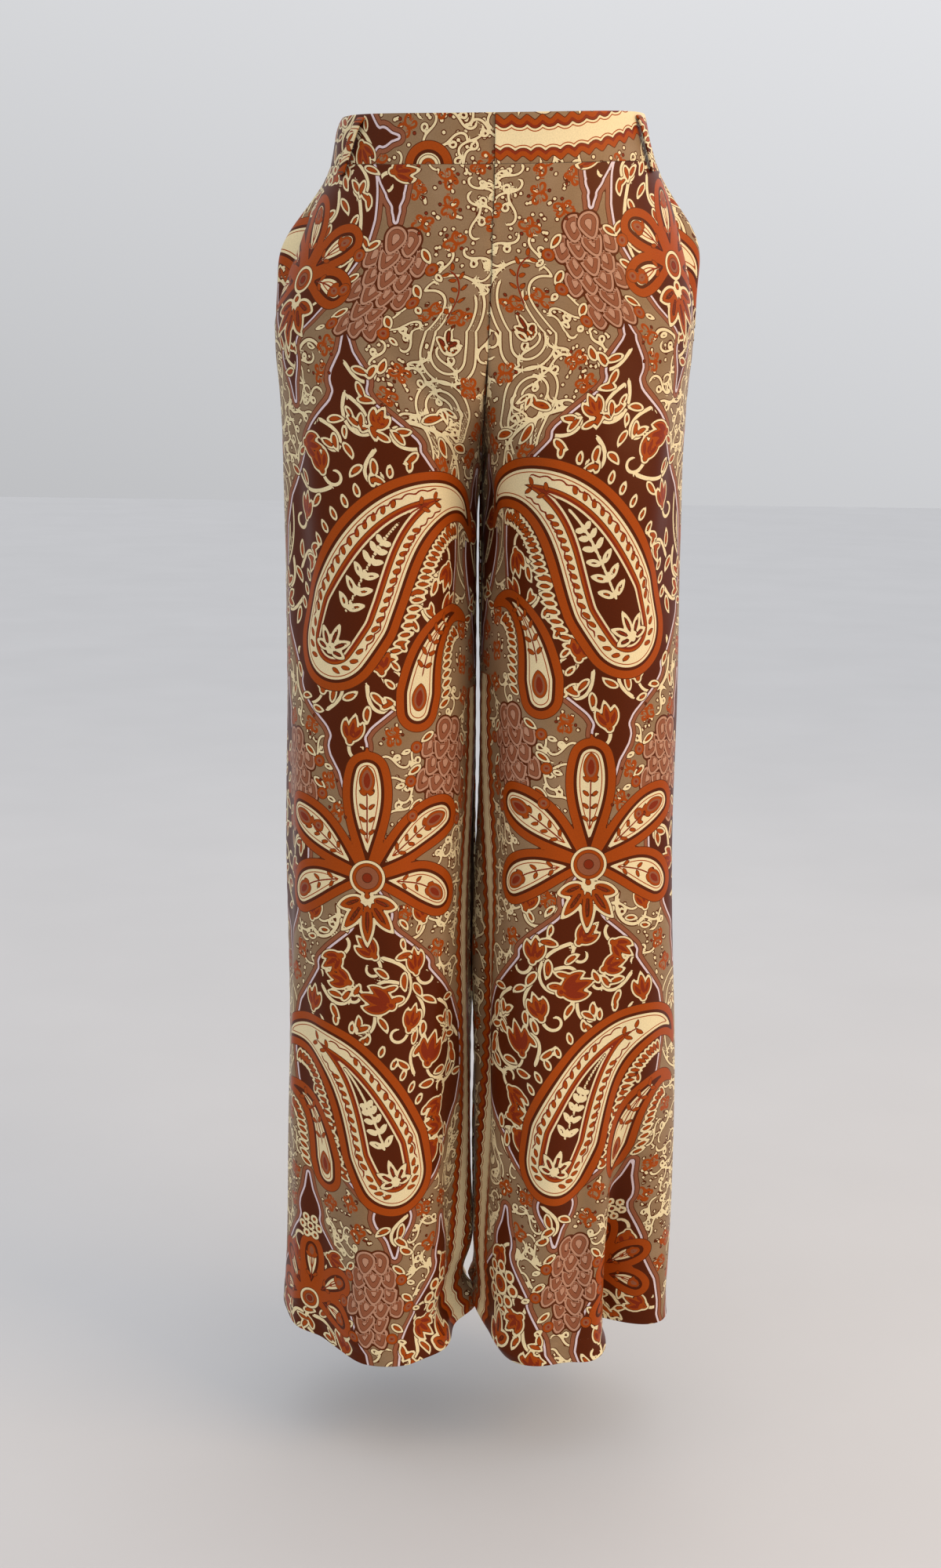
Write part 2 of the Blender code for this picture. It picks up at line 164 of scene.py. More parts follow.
# Creases rise and fade between top and low. They are finer than the folds.
CREASE_POWER = 1.4
CREASES = [
    Fold(+1, 0.62, 0.96, -0.175, -0.275, -0.0049, 0.060),
    Fold(-1, 0.66, 0.96, -0.165, -0.270, -0.0044, 0.055),
    Fold(+1, 0.78, 0.99, -0.205, -0.300, 0.0035, 0.045),
    Fold(-1, 0.80, 0.99, -0.200, -0.305, 0.0035, 0.045),
    Fold(+1, 0.93, 0.70, -0.235, -0.430, -0.0057, 0.070),
    Fold(-1, 0.92, 0.72, -0.240, -0.450, -0.0052, 0.065),
    Fold(+1, 0.22, 0.30, -0.180, -0.520, -0.0044, 0.080),
    Fold(-1, 0.18, 0.26, -0.170, -0.500, -0.0049, 0.080),
    Fold(+1, 0.52, 0.44, -0.420, -0.900, -0.0066, 0.070),
    Fold(-1, 0.66, 0.60, -0.480, -1.090, -0.0070, 0.060),
    Fold(+1, 0.90, 0.84, -0.560, -1.090, -0.0074, 0.050),
    Fold(-1, 0.08, 0.14, -0.600, -1.090, -0.0061, 0.055),
    Fold(+1, 0.44, 0.50, -0.780, -1.110, -0.0079, 0.050),
    Fold(-1, 0.40, 0.36, -0.800, -1.110, -0.0066, 0.055),
    Fold(+1, -0.30, -0.62, -0.145, -0.290, -0.0052, 0.070),
    Fold(-1, -0.34, -0.66, -0.150, -0.300, -0.0052, 0.070),
    Fold(+1, -0.84, -0.60, -0.250, -0.460, -0.0066, 0.070),
    Fold(-1, -0.86, -0.62, -0.245, -0.480, -0.0066, 0.070),
    Fold(+1, -0.12, -0.18, -0.380, -1.000, -0.0061, 0.060),
    Fold(-1, -0.10, -0.16, -0.420, -1.040, -0.0061, 0.060),
    Fold(+1, -0.50, -0.46, -0.520, -1.090, 0.0066, 0.070),
    Fold(-1, -0.52, -0.50, -0.500, -1.090, 0.0066, 0.070),
    Fold(+1, -0.88, -0.84, -0.600, -1.110, -0.0074, 0.050),
    Fold(-1, -0.86, -0.90, -0.640, -1.110, -0.0074, 0.050),
]

# Long uneven waves of the satin: how many run round a panel and down it, their phase and height.
Wave = namedtuple("Wave", "round down phase height")
WAVES = [
    Wave(2.3, 1.1, 0.4, 0.00150),
    Wave(3.9, -1.7, 2.1, 0.00120),
    Wave(5.7, 2.6, 4.4, 0.00070),
    Wave(1.4, 3.9, 1.3, 0.00070),
]

BeltLoop = namedtuple("BeltLoop", "name half around_top around_foot")
BELT_LOOPS = [
    BeltLoop("belt_loop_right", -1, 0.37, 0.31),
    BeltLoop("belt_loop_left", +1, 0.27, 0.25),
    BeltLoop("belt_loop_back", +1, -0.999, -0.999),
]

# The marks of the sewing: how far each one stands out or reaches from its seam. The left front laps
# over the right one along the fly.
SINK_REACH = 0.0022
PUCKER_REACH = 0.008
PUCKER_START = -0.05
HEM_STEP = 0.0004
HEM_STEP_REACH = 0.002
HEM_GROOVE = 0.0005
HEM_GROOVE_REACH = 0.0016
PLACKET_RISE = {-1: -0.0004, 1: 0.0009}
PLACKET_REACH = 0.006
PLACKET_FADE = 0.012
BAND_CROWN = 0.0007
BAND_SET = 0.0004
BAND_RIPPLE = 0.00022
BAND_LAP = {-1: -0.0003, 1: 0.0009}
BAND_LAP_REACH = 0.008

MM = 0.001
HANDS = {-1: "right", 1: "left"}


# ---- The garment surface ----
def blend(start, end, value):
    """0 at start, 1 at end, and smooth between them."""
    share = np.clip((value - start) / (end - start), 0.0, 1.0)
    return share * share * (3 - 2 * share)


def section_at(z):
    """The measured sizes at each height of z, on smooth curves through the table's rows."""
    heights = SECTIONS[:, 0]
    upper = np.clip((heights[None] > z[:, None]).sum(axis=1) - 1, 1, len(SECTIONS) - 3)
    a, b, c, d = (SECTIONS[upper + k] for k in (-1, 0, 1, 2))
    share = ((b[:, 0] - z) / (b[:, 0] - c[:, 0]))[:, None]
    leave = (c - a) / (a[:, :1] - c[:, :1]) * (b[:, :1] - c[:, :1])
    arrive = (d - b) / (b[:, :1] - d[:, :1]) * (b[:, :1] - c[:, :1])
    values = b + (c - b) * share**2 * (3 - 2 * share)
    values = values + leave * share * (1 - share) ** 2 + arrive * share**2 * (share - 1)
    section = Section(*values.T)
    return section._replace(
        half_gap=np.maximum(SEAM_GAP / 2, section.half_gap),
        front_line=np.maximum(0.0, section.front_line),
        back_line=np.maximum(0.0, section.back_line),
    )


def outline(half, front, z):
    """Plan outlines at the heights z, from inner seam to side seam, and the lengths along them."""
    section = section_at(z)
    reach = -section.front if front else section.back
    line = section.front_line if front else section.back_line
    turns = FRONT_SEAM_TURNS if front else BACK_SEAM_TURNS
    down = np.clip((turns - z) / (turns - CROTCH), 0.0, 1.0)
    seam_x = section.centre_x + half * section.half_gap
    seam_y = reach + (INSEAM_Y - reach) * down**CROTCH_CURVE
    line_x = seam_x + half * line
    side_x = half * section.side + section.lean

    def column(values):
        return values[:, None]

    angle = np.linspace(0, math.pi / 2, CORNER_STEPS + 1)[None]
    along, across = np.sin(angle) ** (2 / CORNER_POWER), np.cos(angle) ** (2 / CORNER_POWER)
    corner_x = column(line_x) + column(seam_x - line_x) * across
    corner_y = column(seam_y) + column(reach - seam_y) * along
    angle = np.linspace(0, math.pi / 2, SURFACE_STEPS + 1)[None, 1:]
    along, across = np.sin(angle) ** (2 / SURFACE_POWER), np.cos(angle) ** (2 / SURFACE_POWER)
    x = np.hstack([corner_x, column(line_x) + column(side_x - line_x) * along])
    y = np.hstack([corner_y, column(reach) * across])
    lengths = np.cumsum(np.hypot(np.diff(x, axis=1), np.diff(y, axis=1)), axis=1)
    return x, y, np.hstack([np.zeros((len(z), 1)), lengths])


def even_length(half, front, z, true_length):
    """A panel's width, with its growth towards the crotch spread over the rise and the thigh."""
    above, below = outline(half, front, np.array([RISE_HEAD, RISE_FOOT]))[2][:, -1]
    spread = above + (below - above) * blend(RISE_HEAD, RISE_FOOT, z)
    return np.where((z > RISE_HEAD) | (z < RISE_FOOT), true_length, spread)


def fold_height(half, around, z):
    """How far folds, creases and waves push the cloth out at each place."""
    total = np.zeros(around.shape)
    for rows, stays in ((FOLDS, True), (CREASES, False)):
        for fold in (fold for fold in rows if fold.half == half):
            share = np.clip((fold.top - z) / (fold.top - fold.low), 0.0, 1.0)
            middle = fold.around_top + (fold.around_low - fold.around_top) * share
            rise = blend(0, FOLD_GROWTH, share) if stays else np.sin(math.pi * share) ** CREASE_POWER
            total += fold.height * rise * np.exp(-(((around - middle) / fold.width) ** 2))
    # The waves grow towards the hem, where the cloth hangs free.
    loose = blend(BAND_FOOT, CROTCH, z) * (0.6 + 0.8 * blend(THIGH, HEM, z))
    for wave in WAVES:
        turn = 2 * math.pi * (wave.round * around + wave.down * z / HEM) + wave.phase + half
        total += wave.height * loose * np.sin(turn)
    return total


def pocket_edge(z):
    """The fraction around at which the front's edge lies: forward of 0 where the pocket gapes."""
    share = np.clip((BAND_FOOT - z) / (BAND_FOOT - POCKET_END), 0.0, 1.0)
    return POCKET_OPEN * np.abs(np.sin(math.pi * share)) ** POCKET_MOUTH_POWER


def pocket_gape(around, z):
    """How far the pocket's back layer stands out beside the side seam."""
    return GAPE * np.exp(-(((z - GAPE_Z) / GAPE_HEIGHT) ** 2) - ((around - GAPE_AROUND) / GAPE_WIDTH) ** 2)


def hang(x, y, z):
    """How far a point of row z lies above or below it, as the waist and the hem dip at the front."""
    at_waist, at_hem = blend(WAIST_REACH, BAND_FOOT, z), blend(HEM_REACH, HEM, z)
    forward, backward = np.maximum(0.0, -y) / FULL_DEPTH, np.maximum(0.0, y) / FULL_DEPTH
    waist = BACK_WAIST_RISE * backward**2 - FRONT_WAIST_DIP * forward**2 + WAIST_TILT * x / FULL_SIDE
    hem = -FRONT_HEM_DROP * np.minimum(1.0, forward) ** 1.5 - BACK_HEM_DROP * backward**2
    return at_waist * waist + at_hem * hem


def surface(half, around, z, lift=0.0, gape=False):
    """The garment's outer points at the places around (rows, columns), one height z for each row."""
    at_front = around[0] > 0
    if at_front.any() and not at_front.all():
        lift = np.broadcast_to(lift, around.shape)
        parts = (at_front, ~at_front)
        return np.hstack([surface(half, around[:, part], z, lift[:, part], gape) for part in parts])
    front = bool(at_front.all())
    x, y, lengths = outline(half, front, z)
    true_length = lengths[:, -1]
    smooth = even_length(half, front, z, true_length)[:, None]
    share = np.abs(around)
    at = true_length[:, None] - share * smooth - (true_length[:, None] - smooth) * share**4
    plan = np.empty(around.shape + (2,))
    tangent = np.empty_like(plan)
    for row in range(len(z)):
        for axis, line in enumerate((x[row], y[row])):
            plan[row, :, axis] = np.interp(at[row], lengths[row], line)
            beyond = np.interp(at[row] + TANGENT_REACH, lengths[row], line)
            tangent[row, :, axis] = beyond - np.interp(at[row] - TANGENT_REACH, lengths[row], line)
    tangent /= np.maximum(1e-9, np.linalg.norm(tangent, axis=2, keepdims=True))
    turn = half if front else -half
    outward = np.stack([-tangent[..., 1], tangent[..., 0]], axis=2) * -turn
    heights = np.broadcast_to(z[:, None], around.shape)
    out = fold_height(half, around, heights) + lift
    if gape:
        out = out + pocket_gape(around, heights)
    plan = plan + outward * out[..., None]
    return np.dstack([plan[..., 0], plan[..., 1], heights + hang(plan[..., 0], plan[..., 1], heights)])


# ---- The print, in millimetres on the flat cloth: x across, y down ----
# How far from a form its layer's distances are worked out, how far from a line or past a disc, and the
# width of the line round a scale.
FAR = 14.0
LINE_REACH = 6.0
SCALE_LINE = 1.6
LAYERS = ("field", "scroll", "scroll_near", "sprig", "sprig_near", "vein", "vein_near", "dot", "leaf",
          "bloom", "petal", "scale", "bud", "frill", "seed")
PACKS = [LAYERS[k:k + 3] for k in range(0, len(LAYERS), 3)]

Disc = namedtuple("Disc", "layer spine radii")
Line = namedtuple("Line", "layer spine half")
Profile = namedtuple("Profile", "layer y left right")

# A field's half width down its height, as shares of both: a spear, a shoulder and a wide middle.
FIELD_SHAPE = (
    (0.000, 0.00), (0.045, 0.05), (0.085, 0.15), (0.105, 0.17), (0.125, 0.14), (0.150, 0.19), (0.200, 0.42),
    (0.235, 0.56), (0.255, 0.55), (0.280, 0.62), (0.360, 0.88), (0.430, 0.98), (0.500, 1.00), (0.570, 0.98),
    (0.640, 0.90), (0.720, 0.66), (0.745, 0.55), (0.765, 0.56), (0.800, 0.44), (0.850, 0.20), (0.875, 0.14),
    (0.895, 0.17), (0.915, 0.15), (0.955, 0.05), (1.000, 0.00),
)
FIELD_STEPS = 110

# The large forms, each from the hip down to the hem and then beside it: the methods of Print that lay
# them, and each row the values of one call, under the names of their columns.
MAIN_FORMS = {
    # middle, top, foot, width, lean
    "pointed_field": [
        (-66, -150, 192, 124, 0), (-14, 136, 516, 190, -14), (-114, 430, 690, 92, 0), (4, 586, 934, 186, 10),
        (-78, 876, 1230, 128, 0), (66, 912, 1230, 106, 0), (-196, 640, 900, 80, 0), (-200, 930, 1230, 90, 0),
        (10, -40, 46, 22, 4), (128, 250, 420, 40, 0), (182, 78, 212, 74, 0), (184, 262, 420, 78, 0),
        (262, 226, 420, 70, 0)],
    # x, y, heading, reach, petals, spread, width
    "bloom_fan": [
        (-66, 92, -90, 58, 5, 190, 30), (-10, 590, -90, 104, 5, 190, 42), (-78, 1004, -90, 56, 5, 170, 28)],
    # x, y, heading, length, width, curl, side, power
    "teardrop": [
        (-40, 388, -64, 236, 98, 150, 1, 2.6), (34, 446, -84, 118, 44, 130, 1, 2.4),
        (14, 858, -108, 214, 88, -150, -1, 2.6), (-54, 868, -96, 112, 40, -130, -1, 2.4),
        (262, 350, -90, 100, 36, 150, 1, 2.2)],
    # x, y, heading, reach, petals, spread, width, and the layer where it isn't "petal"
    "palmette": [
        (-66, 108, 90, 46, 5, 120, 14), (84, 150, -80, 20, 3, 90, 7, "leaf"),
        (-10, 606, 90, 46, 5, 130, 14), (66, 1040, -90, 34, 3, 80, 14)],
    # x, y, radius, petals, core
    "rosette": [(-66, 4, 17, 6, 0.5), (-78, 930, 15, 6, 0.42), (66, 984, 26, 8, 0.6)],
    # x, y, heading, length, width, rows
    "scales": [
        (22, 58, 100, 84, 46, 6), (68, 462, 100, 88, 44, 6), (-88, 474, 84, 84, 44, 6),
        (-6, 936, 88, 84, 40, 6)],
    # x, y, heading, length, width, curl
    "ghost_teardrop": [
        (84, 156, -75, 88, 44, -150), (74, 196, 80, 86, 42, 120), (122, 60, 95, 76, 36, -140),
        (104, 300, 85, 92, 44, -130), (-116, 268, 80, 96, 44, 120), (-112, 720, 80, 96, 46, 130),
        (88, 880, -60, 70, 34, 130)],
    # x, y, heading, length, turn, size
    "flowering_vine": [
        (44, 208, 50, 128, 150, 21), (-30, 262, 200, 84, 170, 18), (-6, 186, 80, 54, -140, 14),
        (60, 330, 120, 76, -170, 18), (-88, 400, 70, 78, -150, 16), (-36, 616, 120, 60, 170, 15),
        (16, 616, 60, 60, -170, 15), (4, 660, 50, 70, 150, 21), (78, 744, 120, 66, 170, 20),
        (62, 862, -70, 44, -150, 18), (176, 104, 70, 60, 160, 14), (188, 300, 80, 66, -170, 15)],
    # x, y, heading, length, start_turn, end_turn, leaves, size
    "vine": [
        (-108, 14, 90, 112, 20, -60, 6, 16), (-24, 14, 90, 112, -20, 60, 6, 16),
        (-74, 168, -110, 50, 0, -150, 2, 12), (-58, 168, -70, 50, 0, 150, 2, 12)],
    # middle, top, foot, half, sway, turn
    "serrated_band": [(113, 436, 1120, 12, 6, 60), (259, -20, 214, 13, 5, 34)],
}

# The filling: how many places are tried and in what box, how many dots are set, the mm that each kind
# needs round it, the kinds' shares, and the part of a field's edge that stays free.
PRINT_SEED, FILL_SEED = 3, 8
PLACES, DOTS = 36000, 2600
FILL_ACROSS, FILL_DOWN = (-240, 320), (-60, 1120)
VINE_ROOM, SPRIG_ROOM, SCROLL_ROOM, LEAST_ROOM = 12.0, 10.6, 6.2, 3.4
TULIP_SHARE, SPRIG_SHARE = 0.4, 0.5
EDGE_INSIDE, EDGE_OUTSIDE = -7, 10


def tendril(x, y, heading, length, start_turn=0.0, end_turn=0.0, power=2.2, step=1.0):
    """Points along a line that curls more and more towards its ends, with angles in degrees."""
    count = max(6, int(length / step) + 1)
    share = np.linspace(0, 1, count)
    angle = np.radians(heading + start_turn * (1 - share) ** power + end_turn * share**power)
    steps = np.stack([np.cos(angle), np.sin(angle)], axis=1) * length / (count - 1)
    points = np.vstack([[0, 0], np.cumsum((steps[:-1] + steps[1:]) / 2, axis=0)])
    return points + (x, y)


def ahead(x, y, heading, length):
    """The point a length away at a heading in degrees."""
    return x + length * math.cos(math.radians(heading)), y + length * math.sin(math.radians(heading))


def heading_at(spine, k):
    """The heading, in degrees, of a line's step from its point k."""
    step = spine[k + 1] - spine[k]
    return math.degrees(math.atan2(step[1], step[0]))


def sideways(spine):
    """The unit way to the left of a line, at each of its points."""
    steps = np.diff(spine, axis=0, append=spine[-1:] * 2 - spine[-2:-1])
    return np.stack([-steps[:, 1], steps[:, 0]], axis=1) / np.linalg.norm(steps, axis=1)[:, None]


def pointed(count):
    """The half widths, as shares, of a form that is narrow at both its ends."""
    return np.maximum(0.02, np.sin(math.pi * np.linspace(0, 1, count) ** 0.8)) ** 0.9


class Print:
    """The print's shapes, in the order in which they are laid."""

    def __init__(self, seed):
        self.shapes = []
        self.random = np.random.default_rng(seed)

    def line(self, layer, spine, start, end=None):
        """A line whose half width goes from start to end."""
        half = np.linspace(start, start if end is None else end, len(spine))
        self.shapes.append(Line(layer, spine, half))

    def disc(self, layer, spine, radii):
        """A form swept by discs along a spine."""
        spine, radii = np.atleast_2d(np.asarray(spine, float)), np.atleast_1d(np.asarray(radii, float))
        self.shapes.append(Disc(layer, spine, radii))

    def leaf(self, x, y, heading, length, width, bend=0.0, layer="leaf"):
        """A leaf with pointed ends."""
        spine = tendril(x, y, heading, length, 0, bend)
        self.disc(layer, spine, width / 2 * pointed(len(spine)))

    def small_leaf(self, x, y, heading):
        """One of the rust leaves that fill the cream bands."""
        self.leaf(x, y, heading, 8.0, 3.4, 0, "bud")

    def pointed_field(self, middle, top, foot, width, lean):
        """A dark upright field with pointed ends and shouldered sides."""
        share = np.linspace(0, 1, FIELD_STEPS)
        half = width / 2 * np.interp(share, *np.transpose(FIELD_SHAPE))
        middle = middle + lean * np.sin(math.pi * (share - 0.5))
        self.shapes.append(Profile("field", top + (foot - top) * share, middle - half, middle + half))

    def rosette(self, x, y, radius, petals, core):
        """Round petals about a core."""
        for k in range(petals):
            round_petal = radius * math.sin(math.pi / petals) * 0.60 - 0.5
            self.disc("petal", ahead(x, y, 360 * k / petals, radius * 0.62), round_petal)
        self.disc("petal", (x, y), radius * core * 0.62)
        self.disc("seed", (x, y), radius * 0.13)

    def palmette(self, x, y, heading, reach, petals, spread, width, layer="petal"):
        """A fan of pointed petals."""
        for k in range(petals):
            share = 2 * k / (petals - 1) - 1
            angle = heading + spread * share / 2
            length = reach * (1 - 0.38 * abs(share) ** 1.5)
            root = ahead(x, y, angle, reach * 0.12)
            self.leaf(*root, angle, length - reach * 0.12, width, 25 * share, layer)
            self.disc("seed", tendril(*ahead(x, y, angle, 0.33 * length), angle, length * 0.3), 1.3)
        self.disc(layer, (x, y), width * 0.34)

    def bloom_fan(self, x, y, heading, reach, petals, spread, width):
        """A fan of broad rounded petals, each with a leafy stem and a bud on it."""
        for k in range(petals):
            share = 2 * k / (petals - 1) - 1
            angle = heading + spread * share / 2
            length = reach * (1 - 0.22 * abs(share) ** 1.5)
            spine = tendril(*ahead(x, y, angle, 8), angle, length, 0, 70 * share)
            along = np.linspace(0, 1, len(spine))
            radii = width / 2 * (0.30 + 0.70 * np.sin(math.pi * along**1.5) ** 0.8)
            self.disc("bloom", spine, radii * np.clip((1 - along) * 5, 0.15, 1))
            self.leafy_stem(spine, 0.24, 0.60, 7.0)
            self.nested_bud(spine, 0.64, 0.86, width * 0.15)
        self.disc("petal", (x, y), width * 0.36)
        self.disc("seed", (x, y), width * 0.10)

    def nested_bud(self, spine, start, end, half_width):
        """A bud inside a form, narrow at both its ends."""
        bud = spine[int(len(spine) * start):int(len(spine) * end)]
        self.disc("bud", bud, half_width * pointed(len(bud)))

    def leafy_stem(self, spine, start, end, size):
        """A thin stem with pairs of small leaves, on a cream ground."""
        self.line("vein", spine[int(start * len(spine)):int(end * len(spine)) + 2], 0.95)
        reach = np.linalg.norm(np.diff(spine, axis=0), axis=1).sum() * (end - start)
        for share in np.linspace(start + 0.04, end, max(2, int(reach / (size * 1.15)))):
            k = min(len(spine) - 2, int(share * len(spine)))
            here = heading_at(spine, k)
            for side in (-1, 1):
                root = ahead(*spine[k], here + side * 60, 1.6)
                self.leaf(*root, here + side * 48, size, size * 0.42, 0, "bud")

    def teardrop(self, x, y, heading, length, width, curl, side, power):
        """A curled teardrop with a scalloped line and leaves along its edges.

        A large one holds a palmette and a spray of leaves in its dark core, and a small one a bud.
        """
        spine = tendril(x, y, heading, length, 0, curl, power)
        share = np.linspace(0, 1, len(spine))
        taper = np.clip(1 - share**1.15, 0, 1) ** 0.8 * np.clip(0.86 + share * 1.2, 0, 1)
        radii = width / 2 * taper + 2.2 * share
        self.disc("bloom", spine, radii)
        start = 0.26
        if width > 50:
            root = spine[0] - (spine[12] - spine[0]) / 12 * width * 0.10
            self.palmette(*root, heading, width * 0.27, 5, 160, width * 0.08)
            self.core_spray(spine, radii, 0.12, 0.50)
            for turn in (90, 112, 134, 156):
                for hand in (-1, 1):
                    place = ahead(*spine[0], heading + hand * turn, radii[0] - 19)
                    self.small_leaf(*place, heading + hand * (turn - 60))
            start = 0.56
        else:
            self.nested_bud(spine, 0.0, 0.20, width * 0.15)
        self.leafy_stem(spine, start, 0.66, 8.0)
        across = sideways(spine)
        inner = radii - 16 + 2.2 * np.abs(np.sin(math.pi * length / 11 * share))
        kept_part = (inner > 9) & (share > 0.03)
        for hand in (-1, 1):
            line = (spine + hand * across * inner[:, None])[kept_part]
            if len(line) > 8:
                self.line("vein", line, 0.95)
            for k in range(int(0.06 * len(spine)), int(0.6 * len(spine)), 9):
                room = radii[k] - 19
                if room > 10:
                    self.small_leaf(*(spine[k] + hand * across[k] * room), heading_at(spine, k) + hand * 30)
        self.fringe(spine, radii, side, 0.80, int(length / 10), 15, 6.8)
        self.fringe(spine, radii, -side, 0.62, int(length / 17), 12, 6.2)

    def core_spray(self, spine, radii, start, end):
        """A cream stem with pairs of leaves, each as long as a large form's dark core has room for."""
        first, last = int(start * len(spine)), int(end * len(spine))
        self.disc("petal", spine[first:last], 1.0)
        k = first + 2
        while k < last:
            size = min(15.0, 1.2 * (radii[k] - 30))
            if size < 6:
                break
            here = heading_at(spine, k)
            for side in (-1, 1):
                place = ahead(*spine[k], here + side * 90, 1.6)
                self.leaf(*place, here + side * 42, size, max(5.0, size * 0.44), side * 24, "petal")
            k += int(1.05 * size / np.hypot(*(spine[k + 1] - spine[k])))

    def fringe(self, spine, radii, side, last, count, length, width):
        """Small leaves that stand along a form's edge."""
        for share in np.linspace(0.02, last, count):
            k = min(len(spine) - 2, int(share * (len(spine) - 1)))
            out = heading_at(spine, k) + side * 90
            self.leaf(*ahead(*spine[k], out, radii[k] + 2.2), out - side * 35, length, width)

    def vine(self, x, y, heading, length, start_turn, end_turn, leaves, size):
        """A cream stem with leaves on both its sides."""
        spine = tendril(x, y, heading, length, start_turn, end_turn)
        self.line("scroll", spine, 1.7, 1.2)
        for k in range(leaves):
            share = (k + 0.7) / (leaves + 0.6)
            at = int(share * (len(spine) - 2))
            here = heading_at(spine, at)
            side = 1 if k % 2 else -1
            place = ahead(*spine[at], here + side * 90, 2.4)
            self.leaf(*place, here + side * 42, size * (1 - 0.25 * share), size * 0.40, -side * 34)
        return spine

    def tulip(self, x, y, heading, size):
        """A small flower of three petals."""
        for turn, scale in ((-34, 0.9), (34, 0.9), (0, 1.05)):
            self.leaf(x, y, heading + turn, size * scale, size * 0.42, -turn * 1.3)
        self.disc("leaf", (x, y), size * 0.17)

    def flowering_vine(self, x, y, heading, length, turn, size):
        """A large curled vine of the dark fields: it ends in a flower and carries buds and leaves."""
        spine = self.vine(x, y, heading, length, -0.25 * turn, turn, int(length / 17), size)
        self.tulip(*spine[-1], heading_at(spine, -2), size * 1.5)
        self.disc("dot", spine[0], 2.4)

    def scales(self, x, y, heading, length, width, rows):
        """A bud of overlapping mauve scales, with rust bulbs and pointed leaves at its sides."""
        for row in reversed(range(rows)):
            share = (row + 0.5) / rows
            wide = width * math.sin(math.pi * (0.20 + 0.68 * share))
            count = max(1, round(wide / 15)) + (row % 2)
            middle = ahead(x, y, heading, length * share)
            for side in (-1, 1):
                place = ahead(*middle, heading + side * 90, count * 7.0 + 4.0)
                if row % 2:
                    self.disc("bud", place, 5.0)
                    self.leaf(*ahead(*place, heading + side * 60, 6.0), heading + side * 60, 9, 4.8)
                else:
                    self.leaf(*place, heading + side * 48, 15, 6.6)
            for k in sorted(range(count), key=lambda k: -abs(k - (count - 1) / 2)):
                place = ahead(*middle, heading + 90, (k - (count - 1) / 2) * 13.6)
                lean = heading + 18 * (k - (count - 1) / 2)
                tip = tendril(*ahead(*place, lean, -5.0), lean, 12.0)
                along = np.linspace(0, 1, len(tip))
                self.disc("scale", tip, np.clip(8.8 * (1 - along) ** 0.5, 0.5, 8.8))

    def scroll(self, x, y, turn, size, hand):
        """A cream scroll of the ground: both its ends curl, and so does its branch."""
        length = self.random.uniform(0.88, 1.12) * size
        spine = tendril(x, y, turn, length, hand * 290, hand * 330, 1.7, 0.5)
        spine = spine - spine[len(spine) // 2] + (x, y)
        self.line("scroll", spine, 0.95)
        branch = spine[int(len(spine) * 0.40)]
        twig = tendril(*branch, turn - hand * 30, length * 0.5, 0, -hand * 330, 1.5, 0.5)
        self.line("scroll", twig, 0.9)

    def sprig(self, x, y, turn, size):
        """A rust sprig of the ground: a short stem with curled arms at both its ends, and dots."""
        self.line("sprig", tendril(*ahead(x, y, turn, -size * 0.18), turn, size * 0.36), 1.15)
        for end in (0, 180):
            for hand in (-1, 1):
                root = ahead(x, y, turn + end, size * 0.18)
                reach = size * self.random.uniform(0.85, 1.05)
                curl = hand * self.random.uniform(215, 260)
                arm = tendril(*root, turn + end + hand * 42, reach, 0, curl, 2.3, 0.5)
                self.line("sprig", arm, 1.15, 0.95)
            self.disc("seed", ahead(x, y, turn + end, size * 0.66), 1.5)

    def ghost_teardrop(self, x, y, heading, length, width, curl):
        """A teardrop of the ground drawn in cream lines, with a spray of leaves in it."""
        spine = tendril(x, y, heading, length, 0, curl, 2.0)
        share = np.linspace(0, 1, len(spine))
        radii = width / 2 * np.clip(1 - share**1.3, 0, 1) ** 0.75
        for scale in (1.0, 0.62):
            edge = radii[:, None] * scale * sideways(spine)
            arc = np.radians(heading + np.linspace(90, 270, 24))
            cap = np.stack([np.cos(arc), np.sin(arc)], axis=1) * radii[0] * scale + spine[0]
            last = int(len(spine) * (1 if scale == 1.0 else 0.55))
            outline_points = np.vstack([(spine - edge)[:last][::-1], cap[::-1], (spine + edge)[:last]])
            self.line("scroll", outline_points, 0.95)
        for turn in (-40, 0, 40):
            self.leaf(*ahead(*spine[0], heading + turn, 1), heading + turn, width * 0.34, width * 0.12)

    def lay_main_forms(self):
        """The large forms, and the few that stand alone beside them."""
        for kind, rows in MAIN_FORMS.items():
            for row in rows:
                getattr(self, kind)(*row)
        self.leafy_stem(tendril(78, 130, -84, 60, 0, -110), 0.1, 0.8, 6.5)
        self.disc("bloom", (160, 52), 19)
        self.disc("petal", (160, 52), 8)

    def serrated_band(self, middle, top, foot, half, sway, turn):
        """A long wavy band with teeth along both its edges."""
        y = np.linspace(top, foot, int((foot - top) / 1.6))
        teeth = half + 5 * np.abs((y / 6) % 2 - 1)
        centre = middle + sway * np.sin(y / turn)
        self.shapes.append(Profile("frill", y, centre - teeth, centre + teeth))

    def fill(self):
        """Scrolls, sprigs and dots on the free ground, and small vines and flowers in the fields."""
        random = np.random.default_rng(FILL_SEED)
        xs, ys = random.uniform(*FILL_ACROSS, PLACES), random.uniform(*FILL_DOWN, PLACES)
